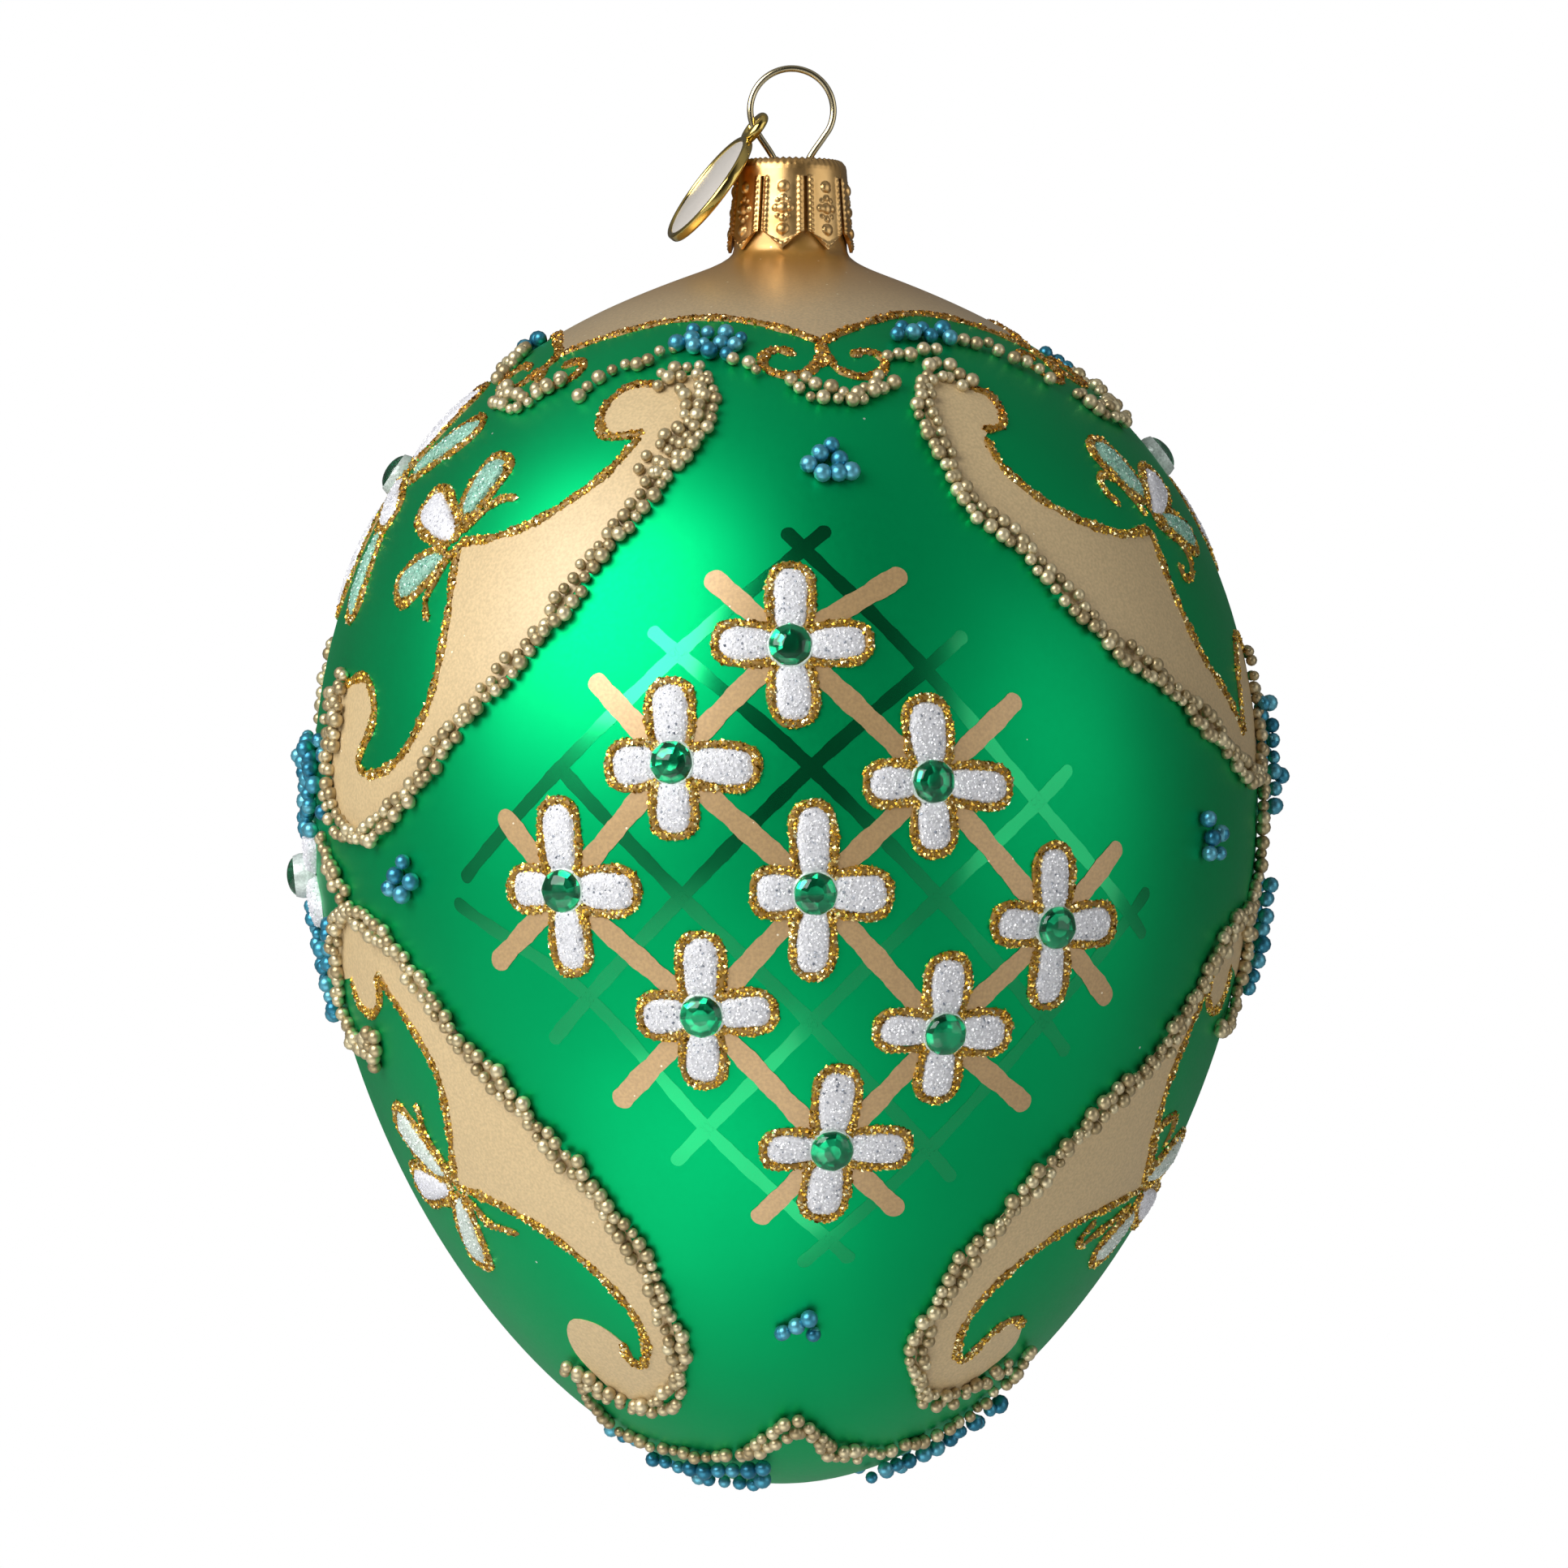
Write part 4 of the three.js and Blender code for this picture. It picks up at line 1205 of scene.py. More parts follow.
class EGG_OT_stage(bpy.types.Operator):
    """Set the floor, the lights, the surroundings and the camera"""
    bl_idname = "egg.stage"
    bl_label = "Stage"

    def execute(self, context):
        stage = settings()[2]
        self.floor(stage)
        self.lights()
        self.surroundings()
        self.camera(stage)
        context.scene.view_settings.view_transform = "Standard"
        return {"FINISHED"}

    def floor(self, stage):
        heap = Heap()
        verts, faces = lathe([(0, -2), (FLOOR_RADIUS, -2), (FLOOR_RADIUS, 0), (0, 0)], 96)
        heap.add(verts + np.array([0, 0, -stage.floor_drop / MM]), faces)
        finish = Finish("pale_floor", 60.0, 2.0, Roughness=0.75, Emission_Color=(1, 1, 1, 1))
        finish.set("Base Color", finish.ramp(finish.patches, FLOOR_STOPS))
        light = finish.add("ShaderNodeLightPath")
        finish.set("Emission Strength", finish.span(light.outputs["Is Camera Ray"], 0.01, 0.45))
        heap.to_object("floor", finish.material)

    def lights(self):
        for name, (turn, rise, distance, width, tall, power) in LIGHTS.items():
            light = bpy.data.lights.new(name, "AREA")
            light.shape = "RECTANGLE"
            light.size = width
            light.size_y = tall
            light.energy = power
            lamp = in_scene(name, light)
            a, e = math.radians(turn), math.radians(rise)
            reach = distance * math.cos(e)
            height = EGG_MIDDLE * MM + distance * math.sin(e)
            lamp.location = (reach * math.sin(a), -reach * math.cos(a), height)
            lamp.rotation_euler = (math.pi / 2 - e, 0, a)

    def surroundings(self):
        world = bpy.data.worlds.new("studio")
        bpy.context.scene.world = world
        world.use_nodes = True
        tree = world.node_tree
        tree.nodes.clear()
        out = add_node(tree, "ShaderNodeOutputWorld")
        mix = add_node(tree, "ShaderNodeMixShader")
        path = add_node(tree, "ShaderNodeLightPath")
        room = add_node(tree, "ShaderNodeBackground")
        backdrop = add_node(tree, "ShaderNodeBackground")
        backdrop.inputs["Color"].default_value = (1.0, 1.0, 1.0, 1)
        where = add_node(tree, "ShaderNodeTexCoord")
        facing = add_node(tree, "ShaderNodeVectorMath", operation="DOT_PRODUCT")
        facing.inputs[1].default_value = ROOM_FACING
        share = add_node(tree, "ShaderNodeMapRange")
        share.inputs["From Min"].default_value = -1.0
        tent = add_node(tree, "ShaderNodeValToRGB")
        for place, grey in ROOM_STOPS[2:]:
            tent.color_ramp.elements.new(place)
        for element, (place, grey) in zip(tent.color_ramp.elements, ROOM_STOPS):
            element.position = place
            element.color = (grey, grey, grey, 1)
        join(tree, (where.outputs["Generated"], facing.inputs[0]),
             (facing.outputs["Value"], share.inputs["Value"]), (share.outputs[0], tent.inputs[0]),
             (tent.outputs[0], room.inputs["Color"]), (path.outputs["Is Camera Ray"], mix.inputs[0]),
             (room.outputs[0], mix.inputs[1]), (backdrop.outputs[0], mix.inputs[2]),
             (mix.outputs[0], out.inputs["Surface"]))

    def camera(self, stage):
        camera = bpy.data.cameras.new("photo_camera")
        camera.sensor_width = 36.0
        camera.lens = camera.sensor_width * stage.camera_distance / stage.view_height
        camera.clip_end = 20.0
        camera.shift_x = PHOTO_SHIFT / PHOTO_SIZE
        eye = in_scene("photo_camera", camera)
        a, away = stage.camera_turn, stage.camera_distance
        eye.location = (away * math.sin(a), -away * math.cos(a), stage.camera_height)
        eye.rotation_euler = (math.pi / 2, stage.camera_roll, a)
        bpy.context.scene.camera = eye


class EGG_OT_glass(bpy.types.Operator):
    """Turn the hollow glass egg with its neck"""
    bl_idname = "egg.glass"
    bl_label = "Glass"

    def execute(self, context):
        colours = settings()[1]
        outside = glass_profile(84)
        along = unit(np.gradient(outside, axis=0))
        inside = outside + np.stack([-along[:, 1], along[:, 0]], -1) * GLASS_WALL
        inside[-1] = (NECK_RIM[0] - GLASS_WALL, NECK_RIM[1])
        inside[0] = (0, EGG_BOTTOM + GLASS_WALL)
        outside[0, 0] = 0
        profile = np.vstack([outside, inside[::-1][::3][:-1], inside[:1]])
        heap = Heap()
        heap.add(*lathe(profile, 192))
        keep(heap.to_object("glass_egg_body", lacquer_finish(colours), 60), "green_lacquer", "glass_egg")
        return {"FINISHED"}


class EGG_OT_gold_paint(bpy.types.Operator):
    """Paint the gold shoulder, lattice strips and scroll cartouches"""
    bl_idname = "egg.gold_paint"
    bl_label = "Gold paint"

    def execute(self, context):
        sizes, colours, _ = settings()
        paint = paint_finish("satin_gold_paint", colours.gold_paint, 0.12, 0.46, 0.06, 0.3)
        strip = paint_finish("bronze_gold_paint", colours.strip, 0.45, 0.38, 0.12)
        # The shoulder's gold carries painted shade and reflection of the cap, darker towards the neck
        shoulder = paint_finish("shoulder_gold_paint", colours.shoulder, 0.6, 0.36, 0.5, 0.8,
                                tuple(colours.neck))
        keep(self.shoulder().to_object("gold_shoulder", shoulder, 60), "gold_paint")
        keep(self.strips(sizes.strip_width / MM).to_object("gold_lattice", strip), "gold_paint")
        keep(self.cartouches().to_object("gold_cartouches", paint), "gold_paint")
        return {"FINISHED"}

    def shoulder(self):
        turns = np.linspace(0, 360, 300, endpoint=False)
        top_z = NECK_RIM[1] - PAINT_BELOW_RIM
        shares = np.linspace(0, 1, 34)
        lines = []
        for share, lift in [(s, SHOULDER_HEIGHT) for s in shares] + [(s, -SINK) for s in shares[::-1]]:
            z = top_z + (scallop_z(turns) - top_z) * share
            lines.append(on_glass(turns, z, np.full(len(turns), lift))[0])
        heap = Heap()
        heap.add(np.vstack(lines), ring_faces(len(lines), len(turns), closed_along=True))
        return heap

    def strips(self, width):
        heap = Heap()
        for number, (k, falling, start, end) in enumerate(STRIPS):
            stones = [lattice_place(s, k) if falling else lattice_place(k, s) for s in (-1, 0, 1)]
            route = trail([start] + stones + [end], round_end=width / 2)
            verts, faces, _ = ridge(route, width, STRIP_HEIGHT, PAINT_WOBBLE, number, flat=True)
            heap.add(verts, faces, PANEL_TURNS)
        return heap

    def cartouches(self):
        heap = Heap()
        for scroll in CARTOUCHES.values():
            first, last = scroll["stretch"]
            edge = trail(scroll["beads"][first:last], FILM_STEP)
            runs = scroll["scrolls"] + ([scroll["bare"]] if scroll["bare"] else [])
            back = np.vstack([trail(run, FILM_STEP)[:-1] for run in runs])
            outline = np.vstack([edge, back[::-1]])
            step = np.linalg.norm(np.diff(outline, axis=0, append=outline[:1]), axis=1)
            verts, faces = film(outline[step > 0.05], PAINT_HEIGHT)
            heap.add(verts, faces, PANEL_TURNS)
        return heap


class EGG_OT_gloss_lines(bpy.types.Operator):
    """Lay the gloss varnish lattice between the gold strips"""
    bl_idname = "egg.gloss_lines"
    bl_label = "Gloss lines"

    def execute(self, context):
        sizes, colours, _ = settings()
        width = sizes.gloss_width / MM
        heap = Heap()
        for number, line in enumerate(GLOSS_LINES):
            route = trail(line, GLOSS_STEP, width / 2)
            verts, faces, _ = ridge(route, width, GLOSS_HEIGHT, PAINT_WOBBLE, number, flat=True)
            heap.add(verts, faces, PANEL_TURNS)
        keep(heap.to_object("gloss_lattice", gloss_finish(colours), 60), "gloss_lacquer")
        return {"FINISHED"}


class EGG_OT_petals(bpy.types.Operator):
    """Fill the white and mint petals and cover them with fine glitter"""
    bl_idname = "egg.petals"
    bl_label = "Petals"

    def execute(self, context):
        sizes = settings()[0]
        tree = flake_tree()
        rows = petals(sizes)
        for kind, (colour, density, stops) in PETAL_KINDS.items():
            shapes = [(pillow(*spot, heading, outline, height), turns)
                      for spot, heading, outline, petal_kind, height, turns in rows if petal_kind == kind]
            skin = glue_down(kind + "_petals", glue_finish(kind + "_glue", colour, 0.5), "pale_glitter", shapes)
            name = kind + "_flakes"
            values = {"Density": density, "Flake Size": sizes.fine_flake / 2, "Tip": 0.6, "Seed": sizes.seed,
                      "Material": flake_finish(name + "_finish", stops, 0.35, 0.28)}
            keep(grow(skin_carrier(name, skin), tree, values, name, False), "pale_glitter")
        return {"FINISHED"}


def glue_down(name, glue, slot, shapes):
    """Make one piece of shapes of glue, and return their tops for the flakes."""
    heap = Heap()
    skin = []
    for (verts, faces, top), turns in shapes:
        heap.add(verts, faces, turns)
        skin.append((verts, top, turns))
    keep(heap.to_object(name, glue, 60), slot)
    return skin


def petals(sizes):
    """Every petal of one panel and one side: its place, heading, outline, kind, height and turns."""
    half = sizes.petal_width / MM / 2
    chance = np.random.default_rng(sizes.seed)
    rows = []
    for spot in lattice_places():
        for heading, length in LATTICE_PETALS:
            length *= 1 + PETAL_VARIETY * chance.uniform(-1, 1)
            width = half * (1 + PETAL_VARIETY * chance.uniform(-1, 1))
            outline = petal_outline(length, width, LATTICE_PETAL_START, LATTICE_PETAL_WAIST)
            way = heading + chance.uniform(-5, 5)
            rows.append((spot, way, outline, "speckled", LATTICE_PETAL_HEIGHT, PANEL_TURNS))
    for heading, length in WAIST_PETALS:
        outline = petal_outline(length, half * WAIST_PETAL_WIDTH, WAIST_PETAL_START)
        rows.append(((0, WAIST_PLACE_Z), heading, outline, "white", WAIST_PETAL_HEIGHT, SIDE_TURNS))
    for turn, z, size, sides in SIDE_FLOWERS:
        for kind, places in SIDE_PETALS.items():
            for away, up, heading, half_width, half_length in places:
                outline = petal_outline(half_length, half_width, -half_length, FREE_PETAL_WAIST) * size
                for side in sides if away > SIDE_PETAL_GAP else sides[:1]:
                    place = (turn + side * away * size, z + up * size)
                    way = heading if side > 0 else 180 - heading
                    rows.append((place, way, outline, kind, SIDE_PETAL_HEIGHT, (0,)))
    for flower in VERTEX_FLOWERS:
        for kind, places in (("white", [flower["white"]]), (flower["leaf"], flower["leaves"])):
            for turn, z, heading, half_width, half_length in places:
                outline = petal_outline(half_length, half_width, -half_length, FREE_PETAL_WAIST)
                rows.append(((turn, z), heading, outline, kind, SIDE_PETAL_HEIGHT, PANEL_TURNS))
    return rows


class EGG_OT_glitter(bpy.types.Operator):
    """Draw the gold glitter lines and scatter their flakes"""
    bl_idname = "egg.glitter"
    bl_label = "Gold glitter"

    def execute(self, context):
        sizes = settings()[0]
        width = sizes.glitter_width / MM
        glue = glue_finish("gold_glue", GOLD_GLUE, 0.4)
        brown = [(place, tuple(c * t for c, t in zip(colour, SHOULDER_GLITTER_TINT)))
                 for place, colour in GLITTER_STOPS]
        finish = flake_finish("gold_flakes", GLITTER_STOPS, 0.9, 0.2, brown)
        values = {"Density": GLITTER_DENSITY, "Flake Size": sizes.flake / 2, "Tip": 0.9, "Seed": sizes.seed,
                  "Material": finish}
        tree = flake_tree()
        edges = self.petal_edges(sizes, width)
        groups = {"scroll_glitter": self.scrolls(width), "lattice_glitter": edges[0],
                  "flower_glitter": edges[1]}
        for name, lines in groups.items():
            shapes = [(ridge(path, line_width, GLITTER_HEIGHT, GLITTER_WOBBLE, seed), turns)
                      for seed, (path, line_width, turns) in enumerate(lines)]
            skin = glue_down(name + "_glue", glue, "gold_glitter", shapes)
            keep(grow(skin_carrier(name, skin), tree, values, name + "_flakes", False), "gold_glitter")
        return {"FINISHED"}

    def scrolls(self, width):
        lines = []
        lobe = np.linspace(CUSP_TURN, CUSP_TURN + 60, 25)
        for turn in LOBE_TURNS:
            places = np.stack([lobe + turn, scallop_z(lobe + turn)], -1)
            lines.append((trail(places), width, (0,)))
            foot = (CUSP_TURN + turn, float(scallop_z(CUSP_TURN + turn)))
            for side in (1, -1):
                curl = [(foot[0] + side * a, foot[1] + b) for a, b in CUSP_CURL]
                lines.append((trail(curl, FINE_STEP), width * CURL_WIDTH, (0,)))
            stem = [(foot[0] + a, foot[1] + b) for a, b in CUSP_STEM]
            lines.append((trail(stem, FINE_STEP), width * STEM_WIDTH, (0,)))
        for scroll in CARTOUCHES.values():
            for run in scroll["scrolls"]:
                lines.append((trail(run), width, PANEL_TURNS))
        for flower in VERTEX_FLOWERS:
            for tendril in flower["tendrils"]:
                lines.append((trail(tendril, FINE_STEP), width * TENDRIL_WIDTH, PANEL_TURNS))
        return lines

    def petal_edges(self, sizes, width):
        lattice, flowers = [], []
        for spot, heading, outline, kind, height, turns in petals(sizes):
            line_width = width * (LATTICE_EDGE_WIDTH if kind == "speckled" else 1)
            edge = grown(outline, line_width * PETAL_EDGE_SHIFT)
            loop = np.vstack([edge[1:], edge[:2]]) if outline[0, 0] < 0 else edge[1:]
            path = settle(even(laid_flat(*spot, heading, loop), LINE_STEP))[0]
            if height < WAIST_PETAL_HEIGHT:
                (lattice if kind == "speckled" else flowers).append((path, line_width, turns))
        return lattice, flowers


class EGG_OT_beads(bpy.types.Operator):
    """String the gold bead rows and set the blue beads"""
    bl_idname = "egg.beads"
    bl_label = "Beads"

    def execute(self, context):
        sizes = settings()[0]
        tree = bead_tree()
        gold, blue = sizes.gold_bead / MM, sizes.blue_bead / MM
        champagne = bead_finish("champagne_beads", GOLD_BEAD_STOPS)
        teal = bead_finish("blue_beads_finish", BLUE_BEAD_STOPS)
        for name, slot, bead, spacing, jitter, finish, lines in (
                ("gold_beads", "gold_bead", gold, 0.95, 0.2, champagne, self.gold_lines(gold)),
                ("blue_beads", "blue_bead", blue, 0.97, 0.12, teal, self.blue_lines(blue))):
            values = {"Bead Radius": bead / 2 * MM, "Spacing": bead * spacing * MM, "Jitter": jitter * MM,
                      "Material": finish}
            keep(grow(line_carrier(name, lines), tree, values, name, True), slot)
        return {"FINISHED"}

    def row(self, places, bead, abreast, turns, lift=BEAD_LIFT):
        """Lines of beads side by side along one path, each starting half a bead later than the last."""
        path = trail(places, BEAD_STEP)
        along = np.arange(len(path)) * BEAD_STEP
        lines = []
        for k in range(abreast):
            wander = 0.24 * np.sin(along * 0.62 + k * 2.3 + places[0][0]) + 0.14 * np.sin(along * 1.7 + k)
            line = sideways(path, (k - (abreast - 1) / 2) * bead * ROW_GAP + wander)
            late = int(round(k % 2 * bead * 0.5 / BEAD_STEP))
            line = settle(line[late:], bead * lift)[0]
            lines.extend(turned(line, turn) for turn in turns)
        return lines

    def gold_lines(self, bead):
        lines = []
        for scroll in CARTOUCHES.values():
            lines += self.row(scroll["beads"], bead, 2, PANEL_TURNS)
        for corner in CORNER_BEADS:
            lines += self.row(corner, bead, 2, PANEL_TURNS)
        for number, turn in enumerate(LOBE_TURNS):
            for places, abreast in [(CUSP_BEADS, 2)] + [(run, 1) for run in LOBE_BEADS[number % 2]]:
                moved = [(a + CUSP_TURN + turn, z) for a, z in places]
                lines += self.row(moved, bead, abreast, (0,))
        for places, abreast in LOW_GARLAND:
            lines += self.row(places, bead, abreast, PANEL_TURNS)
        return lines

    def blue_lines(self, bead):
        lines = []
        for number, turn in enumerate(LOBE_TURNS):
            places, abreast = LOBE_BLUE[number % 2]
            lines += self.row([(a + CUSP_TURN + turn, z) for a, z in places], bead, abreast, (0,))
        for places in LOW_BLUE:
            lines += self.row(places, bead, 1, PANEL_TURNS, LOW_BLUE_LIFT)
        for column in BLUE_COLUMNS:
            lines += self.row(column, bead, 2, (0,))
        for a, z, lift in SIDE_BLUE:
            lines.append(self.single(a, z, lift))
        for cluster in BLUE_CLUSTERS:
            for a, z in cluster:
                lines.extend(turned(self.single(a, z, bead * BEAD_LIFT), turn) for turn in PANEL_TURNS)
        return lines

    def single(self, turn, z, lift):
        """A line too short for more than one bead."""
        return on_glass([turn, turn + 0.02], [z, z], np.full(2, lift))[0]


class EGG_OT_stones(bpy.types.Operator):
    """Set the round green stones in their drops of clear glue"""
    bl_idname = "egg.stones"
    bl_label = "Stones"

    def execute(self, context):
        colours = settings()[1]
        clear, foil, glue = Heap(), Heap(), Heap()
        names = []
        for panel, turn in (("front", 0), ("back", 180)):
            for number, (a, z) in enumerate(lattice_places(), 1):
                self.stone(clear, foil, glue, a + turn, z, number * 17, STONE_GIRDLE)
                names.append(f"{panel}_stone_{number}")
        for name, turn, z, girdle in SIDE_STONES:
            self.stone(clear, foil, glue, turn, z, 7, girdle, high=True)
            names.append(name)
        keep(clear.to_object("clear_stones", clear_finish(), 50), "green_stone", *names)
        keep(foil.to_object("foil_stones", foil_finish(colours), 5), "green_stone")
        keep(glue.to_object("stone_glue", glue_finish("pale_glue", PALE_GLUE, 0.22), 50), "green_stone")
        return {"FINISHED"}

    def stone(self, clear, foil, glue, turn, z, spin, girdle, high=False):
        place, right, up, out = spot_frame(turn, z)
        axes = np.stack([right, up, out])
        dome = STONE_HEIGHT - STONE_GIRDLE
        a = np.linspace(0, math.pi / 2, 9)[:-1]
        profile = [(0, -STONE_SEAT), (STONE_RADIUS, -STONE_SEAT)]
        profile += [(STONE_RADIUS * math.cos(t), girdle + dome * math.sin(t)) for t in a]
        profile.append((0, girdle + dome))
        foot = place + out * STONE_SEAT
        clear.set(lathe(profile, 28), axes, foot)
        low = girdle - STONE_GIRDLE
        collar = [(r, low + h) for r, h in (HIGH_GLUE if high else FLAT_GLUE)]
        glue.set(lathe([(0, -STONE_SEAT), (GLUE_RADIUS, -STONE_SEAT), *collar], 28), axes, foot)
        verts, faces = lathe([(r, low + h) for r, h in FOIL_CUT], 9)
        foil.set((turned(verts, spin), faces), axes, foot)


class EGG_OT_cap(bpy.types.Operator):
    """Stamp the crown cap with its embossed tabs"""
    bl_idname = "egg.cap"
    bl_label = "Crown cap"

    def execute(self, context):
        gold = metal_finish("cap_gold", CAP_STOPS, 0.28, 0.42, 260.0)
        heap = Heap()
        self.top(heap)
        for k in range(TAB_COUNT):
            self.tab(heap, 360 * k / TAB_COUNT + CAP_TURN)
        keep(heap.to_object("crown_cap_sheet", gold, 50), "cap_gold", "crown_cap")
        return {"FINISHED"}

    def top(self, heap):
        profile = [(0, CAP_TOP_Z - CAP_SHEET), (CAP_TOP_RADIUS - 0.3, CAP_TOP_Z - CAP_SHEET),
                   (CAP_EDGE_RADIUS - CAP_SHEET, CAP_EDGE_Z - 0.2),
                   (CAP_EDGE_RADIUS - CAP_SHEET + 0.1, CAP_EDGE_Z - CAP_SKIRT),
                   (CAP_EDGE_RADIUS + 0.06, CAP_EDGE_Z - CAP_SKIRT), (CAP_EDGE_RADIUS, CAP_EDGE_Z - 0.2),
                   (CAP_EDGE_RADIUS - 0.1, CAP_EDGE_Z + 0.1), (CAP_TOP_RADIUS + 0.2, CAP_TOP_Z - 0.12),
                   (CAP_TOP_RADIUS - 0.1, CAP_TOP_Z), (CAP_TOP_RADIUS - 0.7, CAP_TOP_Z - 0.1),
                   (0, CAP_TOP_Z - 0.1)]
        verts, faces = lathe(profile, 192)
        ring = np.hypot(verts[:, 0], verts[:, 1])
        angle = np.arctan2(verts[:, 1], verts[:, 0])
        knurl = (ring > CAP_TOP_RADIUS - 0.2) & (ring < CAP_EDGE_RADIUS - 0.05) & (verts[:, 2] > CAP_EDGE_Z)
        verts[:, 2] += np.where(knurl, KNURL_HEIGHT * np.sin(angle * KNURL_COUNT), 0)
        heap.add(verts, faces)

    def relief(self, u, v, length):
        """Height of the stamped pattern at a place across (-1 to 1) and down (0 to 1) a tab."""
        x, y = u * TAB_HALF_WIDTH, v * length
        aside, below = TAB_HALF_WIDTH - np.abs(x), (length - y) * 0.85
        along = np.where(aside < below, y, np.abs(x) * 1.25)
        edge = TAB_BORDER
        border = np.exp(-((np.minimum(aside, below) - edge["inset"]) / edge["width"]) ** 2)
        rope = 0.72 + 0.28 * np.cos(along * 2 * math.pi / edge["pitch"])
        height = edge["height"] * border * rope * (y > edge["start"])
        for centre_x, centre_y, size, lift in CAP_BUMPS:
            near = 1 - ((x - centre_x) ** 2 + (y - centre_y) ** 2) / size ** 2
            height = np.maximum(height, lift * np.sqrt(np.maximum(near, 0)))
        return height

    def tab(self, heap, turn):
        across, down = 40, 76
        u = np.linspace(-1, 1, across)[None, :].repeat(down, 0)
        v = np.linspace(0, 1, down)[:, None].repeat(across, 1)
        top_z = CAP_EDGE_Z - 0.5
        length = top_z - CAP_TIP_Z
        half_angle = math.pi / TAB_COUNT - TAB_GAP
        point_share = TAB_POINT / length
        z = top_z - length * v * (1 - point_share * np.abs(u) ** 1.05 * v ** 6)
        radius = np.interp(-z, [-CAP_EDGE_Z, -CAP_TIP_Z], [CAP_EDGE_RADIUS, CAP_TIP_RADIUS])
        angle = math.radians(turn - 90) + u * half_angle
        outer = radius + self.relief(u, v, length) - 0.02
        front = np.stack([outer * np.cos(angle), outer * np.sin(angle), z], -1)
        inner = radius - CAP_SHEET
        back = np.stack([inner * np.cos(angle), inner * np.sin(angle), z], -1)[[0, -1]]
        faces = ring_faces(down, across, closed_round=False)
        size = across * down
        last = size - across
        for k in range(across - 1):
            faces.append([size + k, size + k + 1, size + across + k + 1, size + across + k])
            faces.append([k, k + 1, size + k + 1, size + k])
            faces.append([last + k + 1, last + k, size + across + k, size + across + k + 1])
        faces.append([i * across for i in range(down - 1, -1, -1)] + [size, size + across])
        right_edge = [i * across + across - 1 for i in range(down)]
        faces.append(right_edge + [size + 2 * across - 1, size + across - 1])
        heap.add(np.vstack([front.reshape(-1, 3), back.reshape(-1, 3)]), faces)


class EGG_OT_wire(bpy.types.Operator):
    """Bend the wire loop"""
    bl_idname = "egg.wire"
    bl_label = "Wire loop"

    def execute(self, context):
        right = [(LEG_END_SPREAD, 0, LEG_END_Z), LEG_WAIST, (LEG_SPREAD, 0, CAP_TOP_Z)]
        for angle in range(-LOOP_OPEN_ANGLE, 90, 15):
            a = math.radians(angle)
            right.append((LOOP_RADIUS * math.cos(a), 0, LOOP_CENTRE_Z + LOOP_RADIUS * math.sin(a)))
        left = [(-x, y, z) for x, y, z in reversed(right)]
        route = even(smooth_curve(right + [(0, 0, LOOP_CENTRE_Z + LOOP_RADIUS)] + left), 0.25)
        heap = Heap()
        heap.add(*tube(route, WIRE_DIAMETER / 2, 16))
        gold = metal_finish("wire_gold", WIRE_STOPS, 0.14, 0.26, 300.0)
        keep(heap.to_object("wire_loop_bent", gold, 60), "wire_gold", "wire_loop")
        return {"FINISHED"}


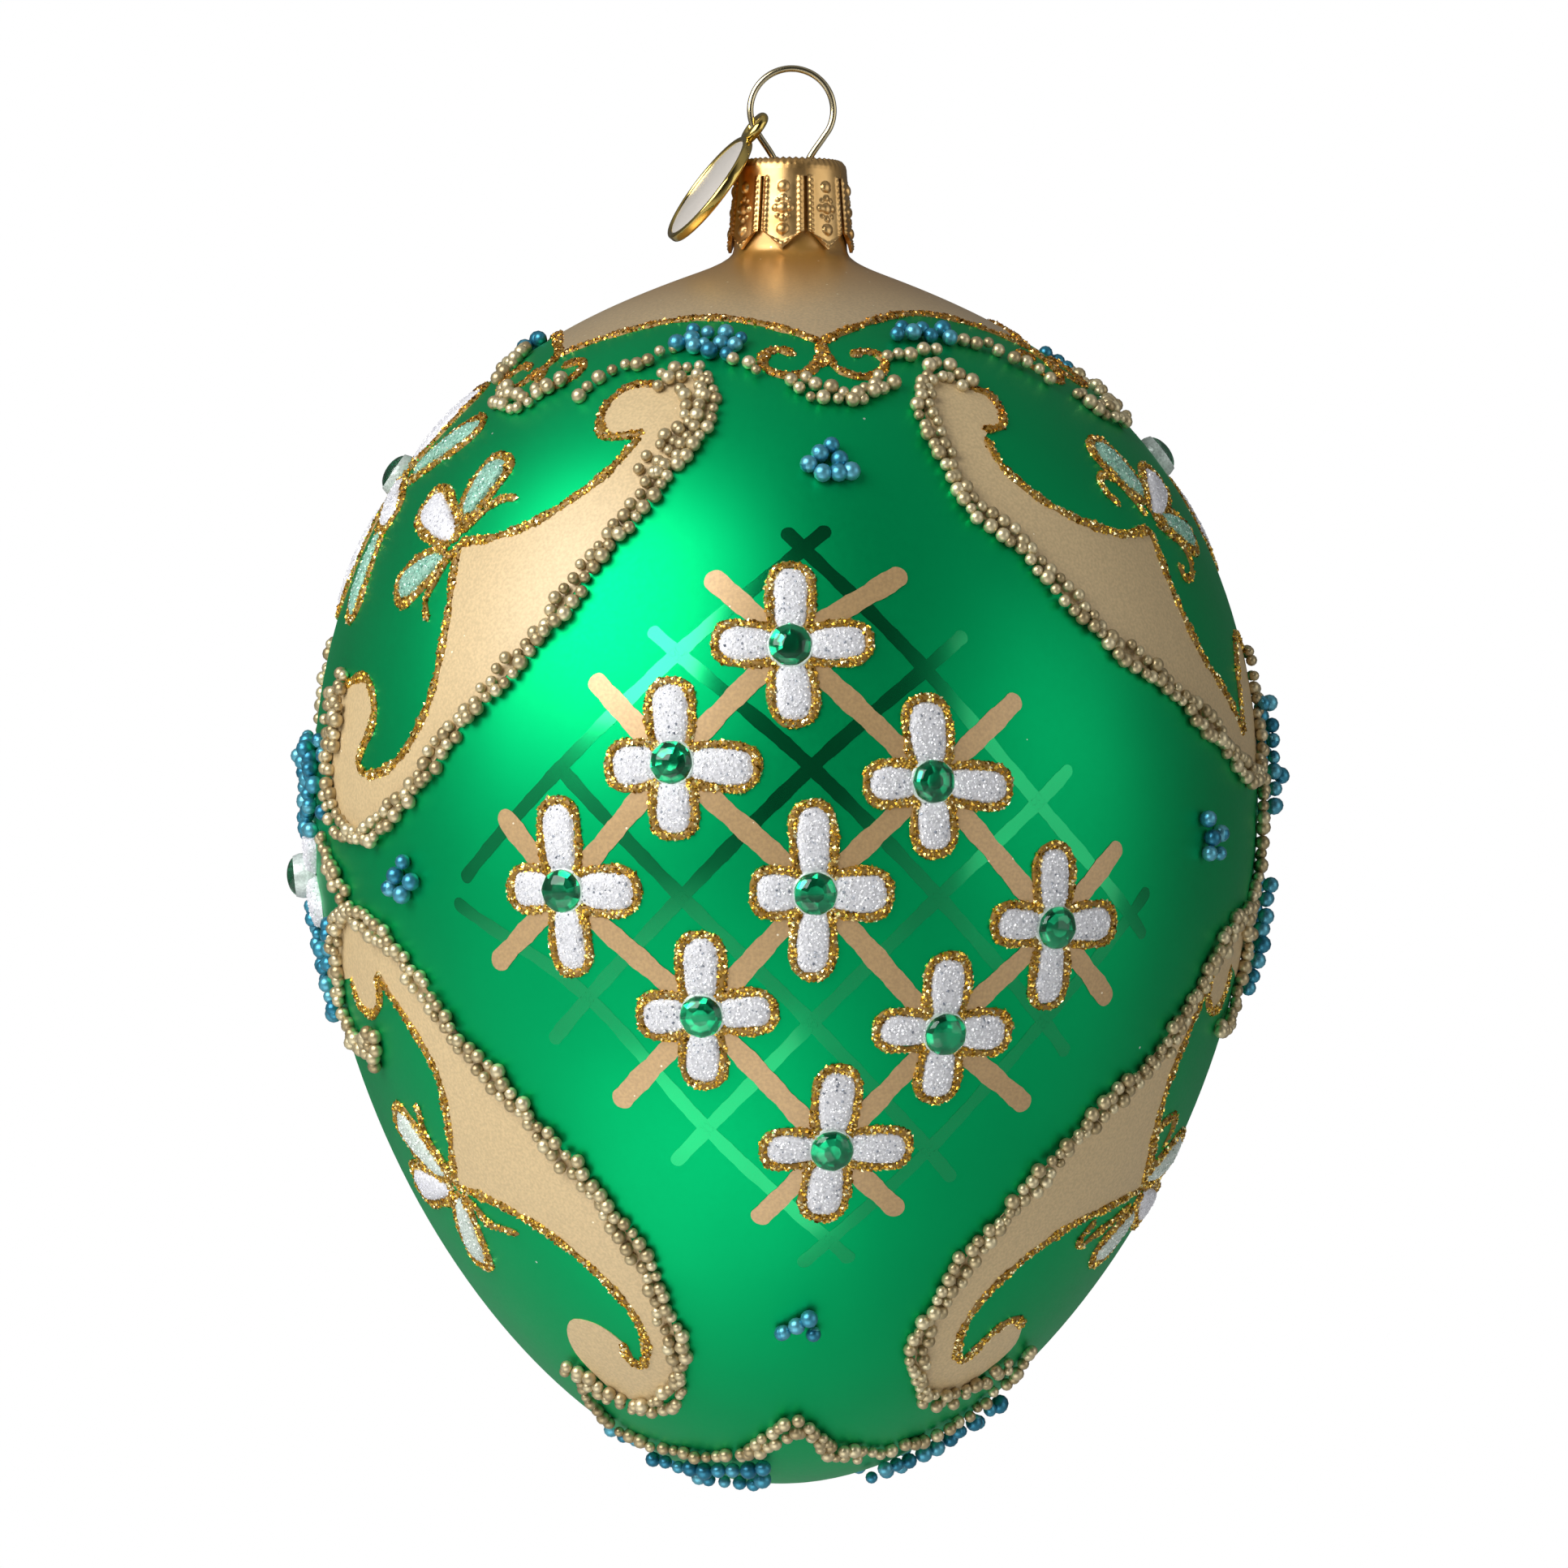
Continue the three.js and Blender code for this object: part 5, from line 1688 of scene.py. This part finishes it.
class EGG_OT_tag(bpy.types.Operator):
    """Make the round tag with its eyelet and bare enamel face"""
    bl_idname = "egg.tag"
    bl_label = "Tag"

    def execute(self, context):
        colours = settings()[1]
        lean, turn, hang = (math.radians(x) for x in (TAG_LEAN, TAG_TURN, TAG_HANG_ANGLE))
        up = np.array([math.cos(lean), 0, math.sin(lean)])
        outward = np.array([-math.sin(lean), 0, math.cos(lean)])
        face = outward * math.cos(turn) + np.array([0, -math.sin(turn), 0])
        axes = np.stack([up, np.cross(face, up), face])
        on_wire = np.array([LOOP_RADIUS * math.cos(hang), 0, LOOP_CENTRE_Z + LOOP_RADIUS * math.sin(hang)])
        middle = on_wire - up * EYELET_REACH
        gold = metal_finish("tag_gold", TAG_STOPS, 0.08, 0.18, 180.0)
        half = TAG_THICKNESS / 2
        inner = TAG_RADIUS - TAG_RIM
        bend = TAG_RIM_BEND
        rim = [(TAG_RADIUS - bend + bend * math.sin(a),
                math.copysign(half - bend, -math.cos(a)) - bend * math.cos(a))
               for a in np.linspace(0, math.pi, 13)]
        profile = [(0, -half), *rim, (inner + 0.1, half - 0.04), (inner, half - 0.2),
                   (inner, half - TAG_RECESS), (0, half - TAG_RECESS)]
        heap = Heap()
        heap.set(lathe(profile, 128), axes, middle)
        a = around(48)
        ring = np.stack([EYELET_REACH + EYELET_RADIUS * np.cos(a), EYELET_RADIUS * np.sin(a), 0 * a], -1)
        heap.set(tube(ring, EYELET_THICKNESS / 2, 20, closed=True), axes, middle)
        keep(heap.to_object("tag_dish", gold, 50), "tag_gold", "tag_frame")
        face_heap = Heap()
        low = half - TAG_RECESS + 0.02
        dome = [(0, low), (inner - 0.02, low), (inner - 0.02, half - 0.22), (inner - 0.4, half - 0.17),
                (0, half - 0.12)]
        face_heap.set(lathe(dome, 128), axes, middle)
        keep(face_heap.to_object("tag_face", enamel_finish(colours), 30), "tag_enamel", "tag_enamel")
        return {"FINISHED"}


class EGG_PT_panel(bpy.types.Panel):
    """Buttons that build the egg, piece by piece"""
    bl_idname = "EGG_PT_panel"
    bl_label = "Jewelled egg"
    bl_space_type = "VIEW_3D"
    bl_region_type = "UI"
    bl_category = "Egg"

    def draw(self, context):
        for operator in OPERATORS:
            self.layout.operator(operator.bl_idname)
        for group in (context.scene.egg_sizes, context.scene.egg_colours, context.scene.egg_stage):
            box = self.layout.box()
            for name in group.__annotations__:
                box.prop(group, name)


OPERATORS = (EGG_OT_stage, EGG_OT_glass, EGG_OT_gold_paint, EGG_OT_gloss_lines, EGG_OT_petals, EGG_OT_glitter,
             EGG_OT_beads, EGG_OT_stones, EGG_OT_cap, EGG_OT_wire, EGG_OT_tag)
GROUPS = (EggSizes, EggColours, EggStage)


def register():
    for cls in GROUPS + OPERATORS + (EGG_PT_panel,):
        bpy.utils.register_class(cls)
    bpy.types.Scene.egg_sizes = PointerProperty(type=EggSizes)
    bpy.types.Scene.egg_colours = PointerProperty(type=EggColours)
    bpy.types.Scene.egg_stage = PointerProperty(type=EggStage)


def unregister():
    del bpy.types.Scene.egg_sizes
    del bpy.types.Scene.egg_colours
    del bpy.types.Scene.egg_stage
    for cls in reversed(GROUPS + OPERATORS + (EGG_PT_panel,)):
        bpy.utils.unregister_class(cls)


def main():
    register()
    bpy.ops.egg.stage()
    bpy.ops.egg.glass()
    bpy.ops.egg.gold_paint()
    bpy.ops.egg.gloss_lines()
    bpy.ops.egg.petals()
    bpy.ops.egg.glitter()
    bpy.ops.egg.beads()
    bpy.ops.egg.stones()
    bpy.ops.egg.cap()
    bpy.ops.egg.wire()
    bpy.ops.egg.tag()


if __name__ == "__main__":
    main()
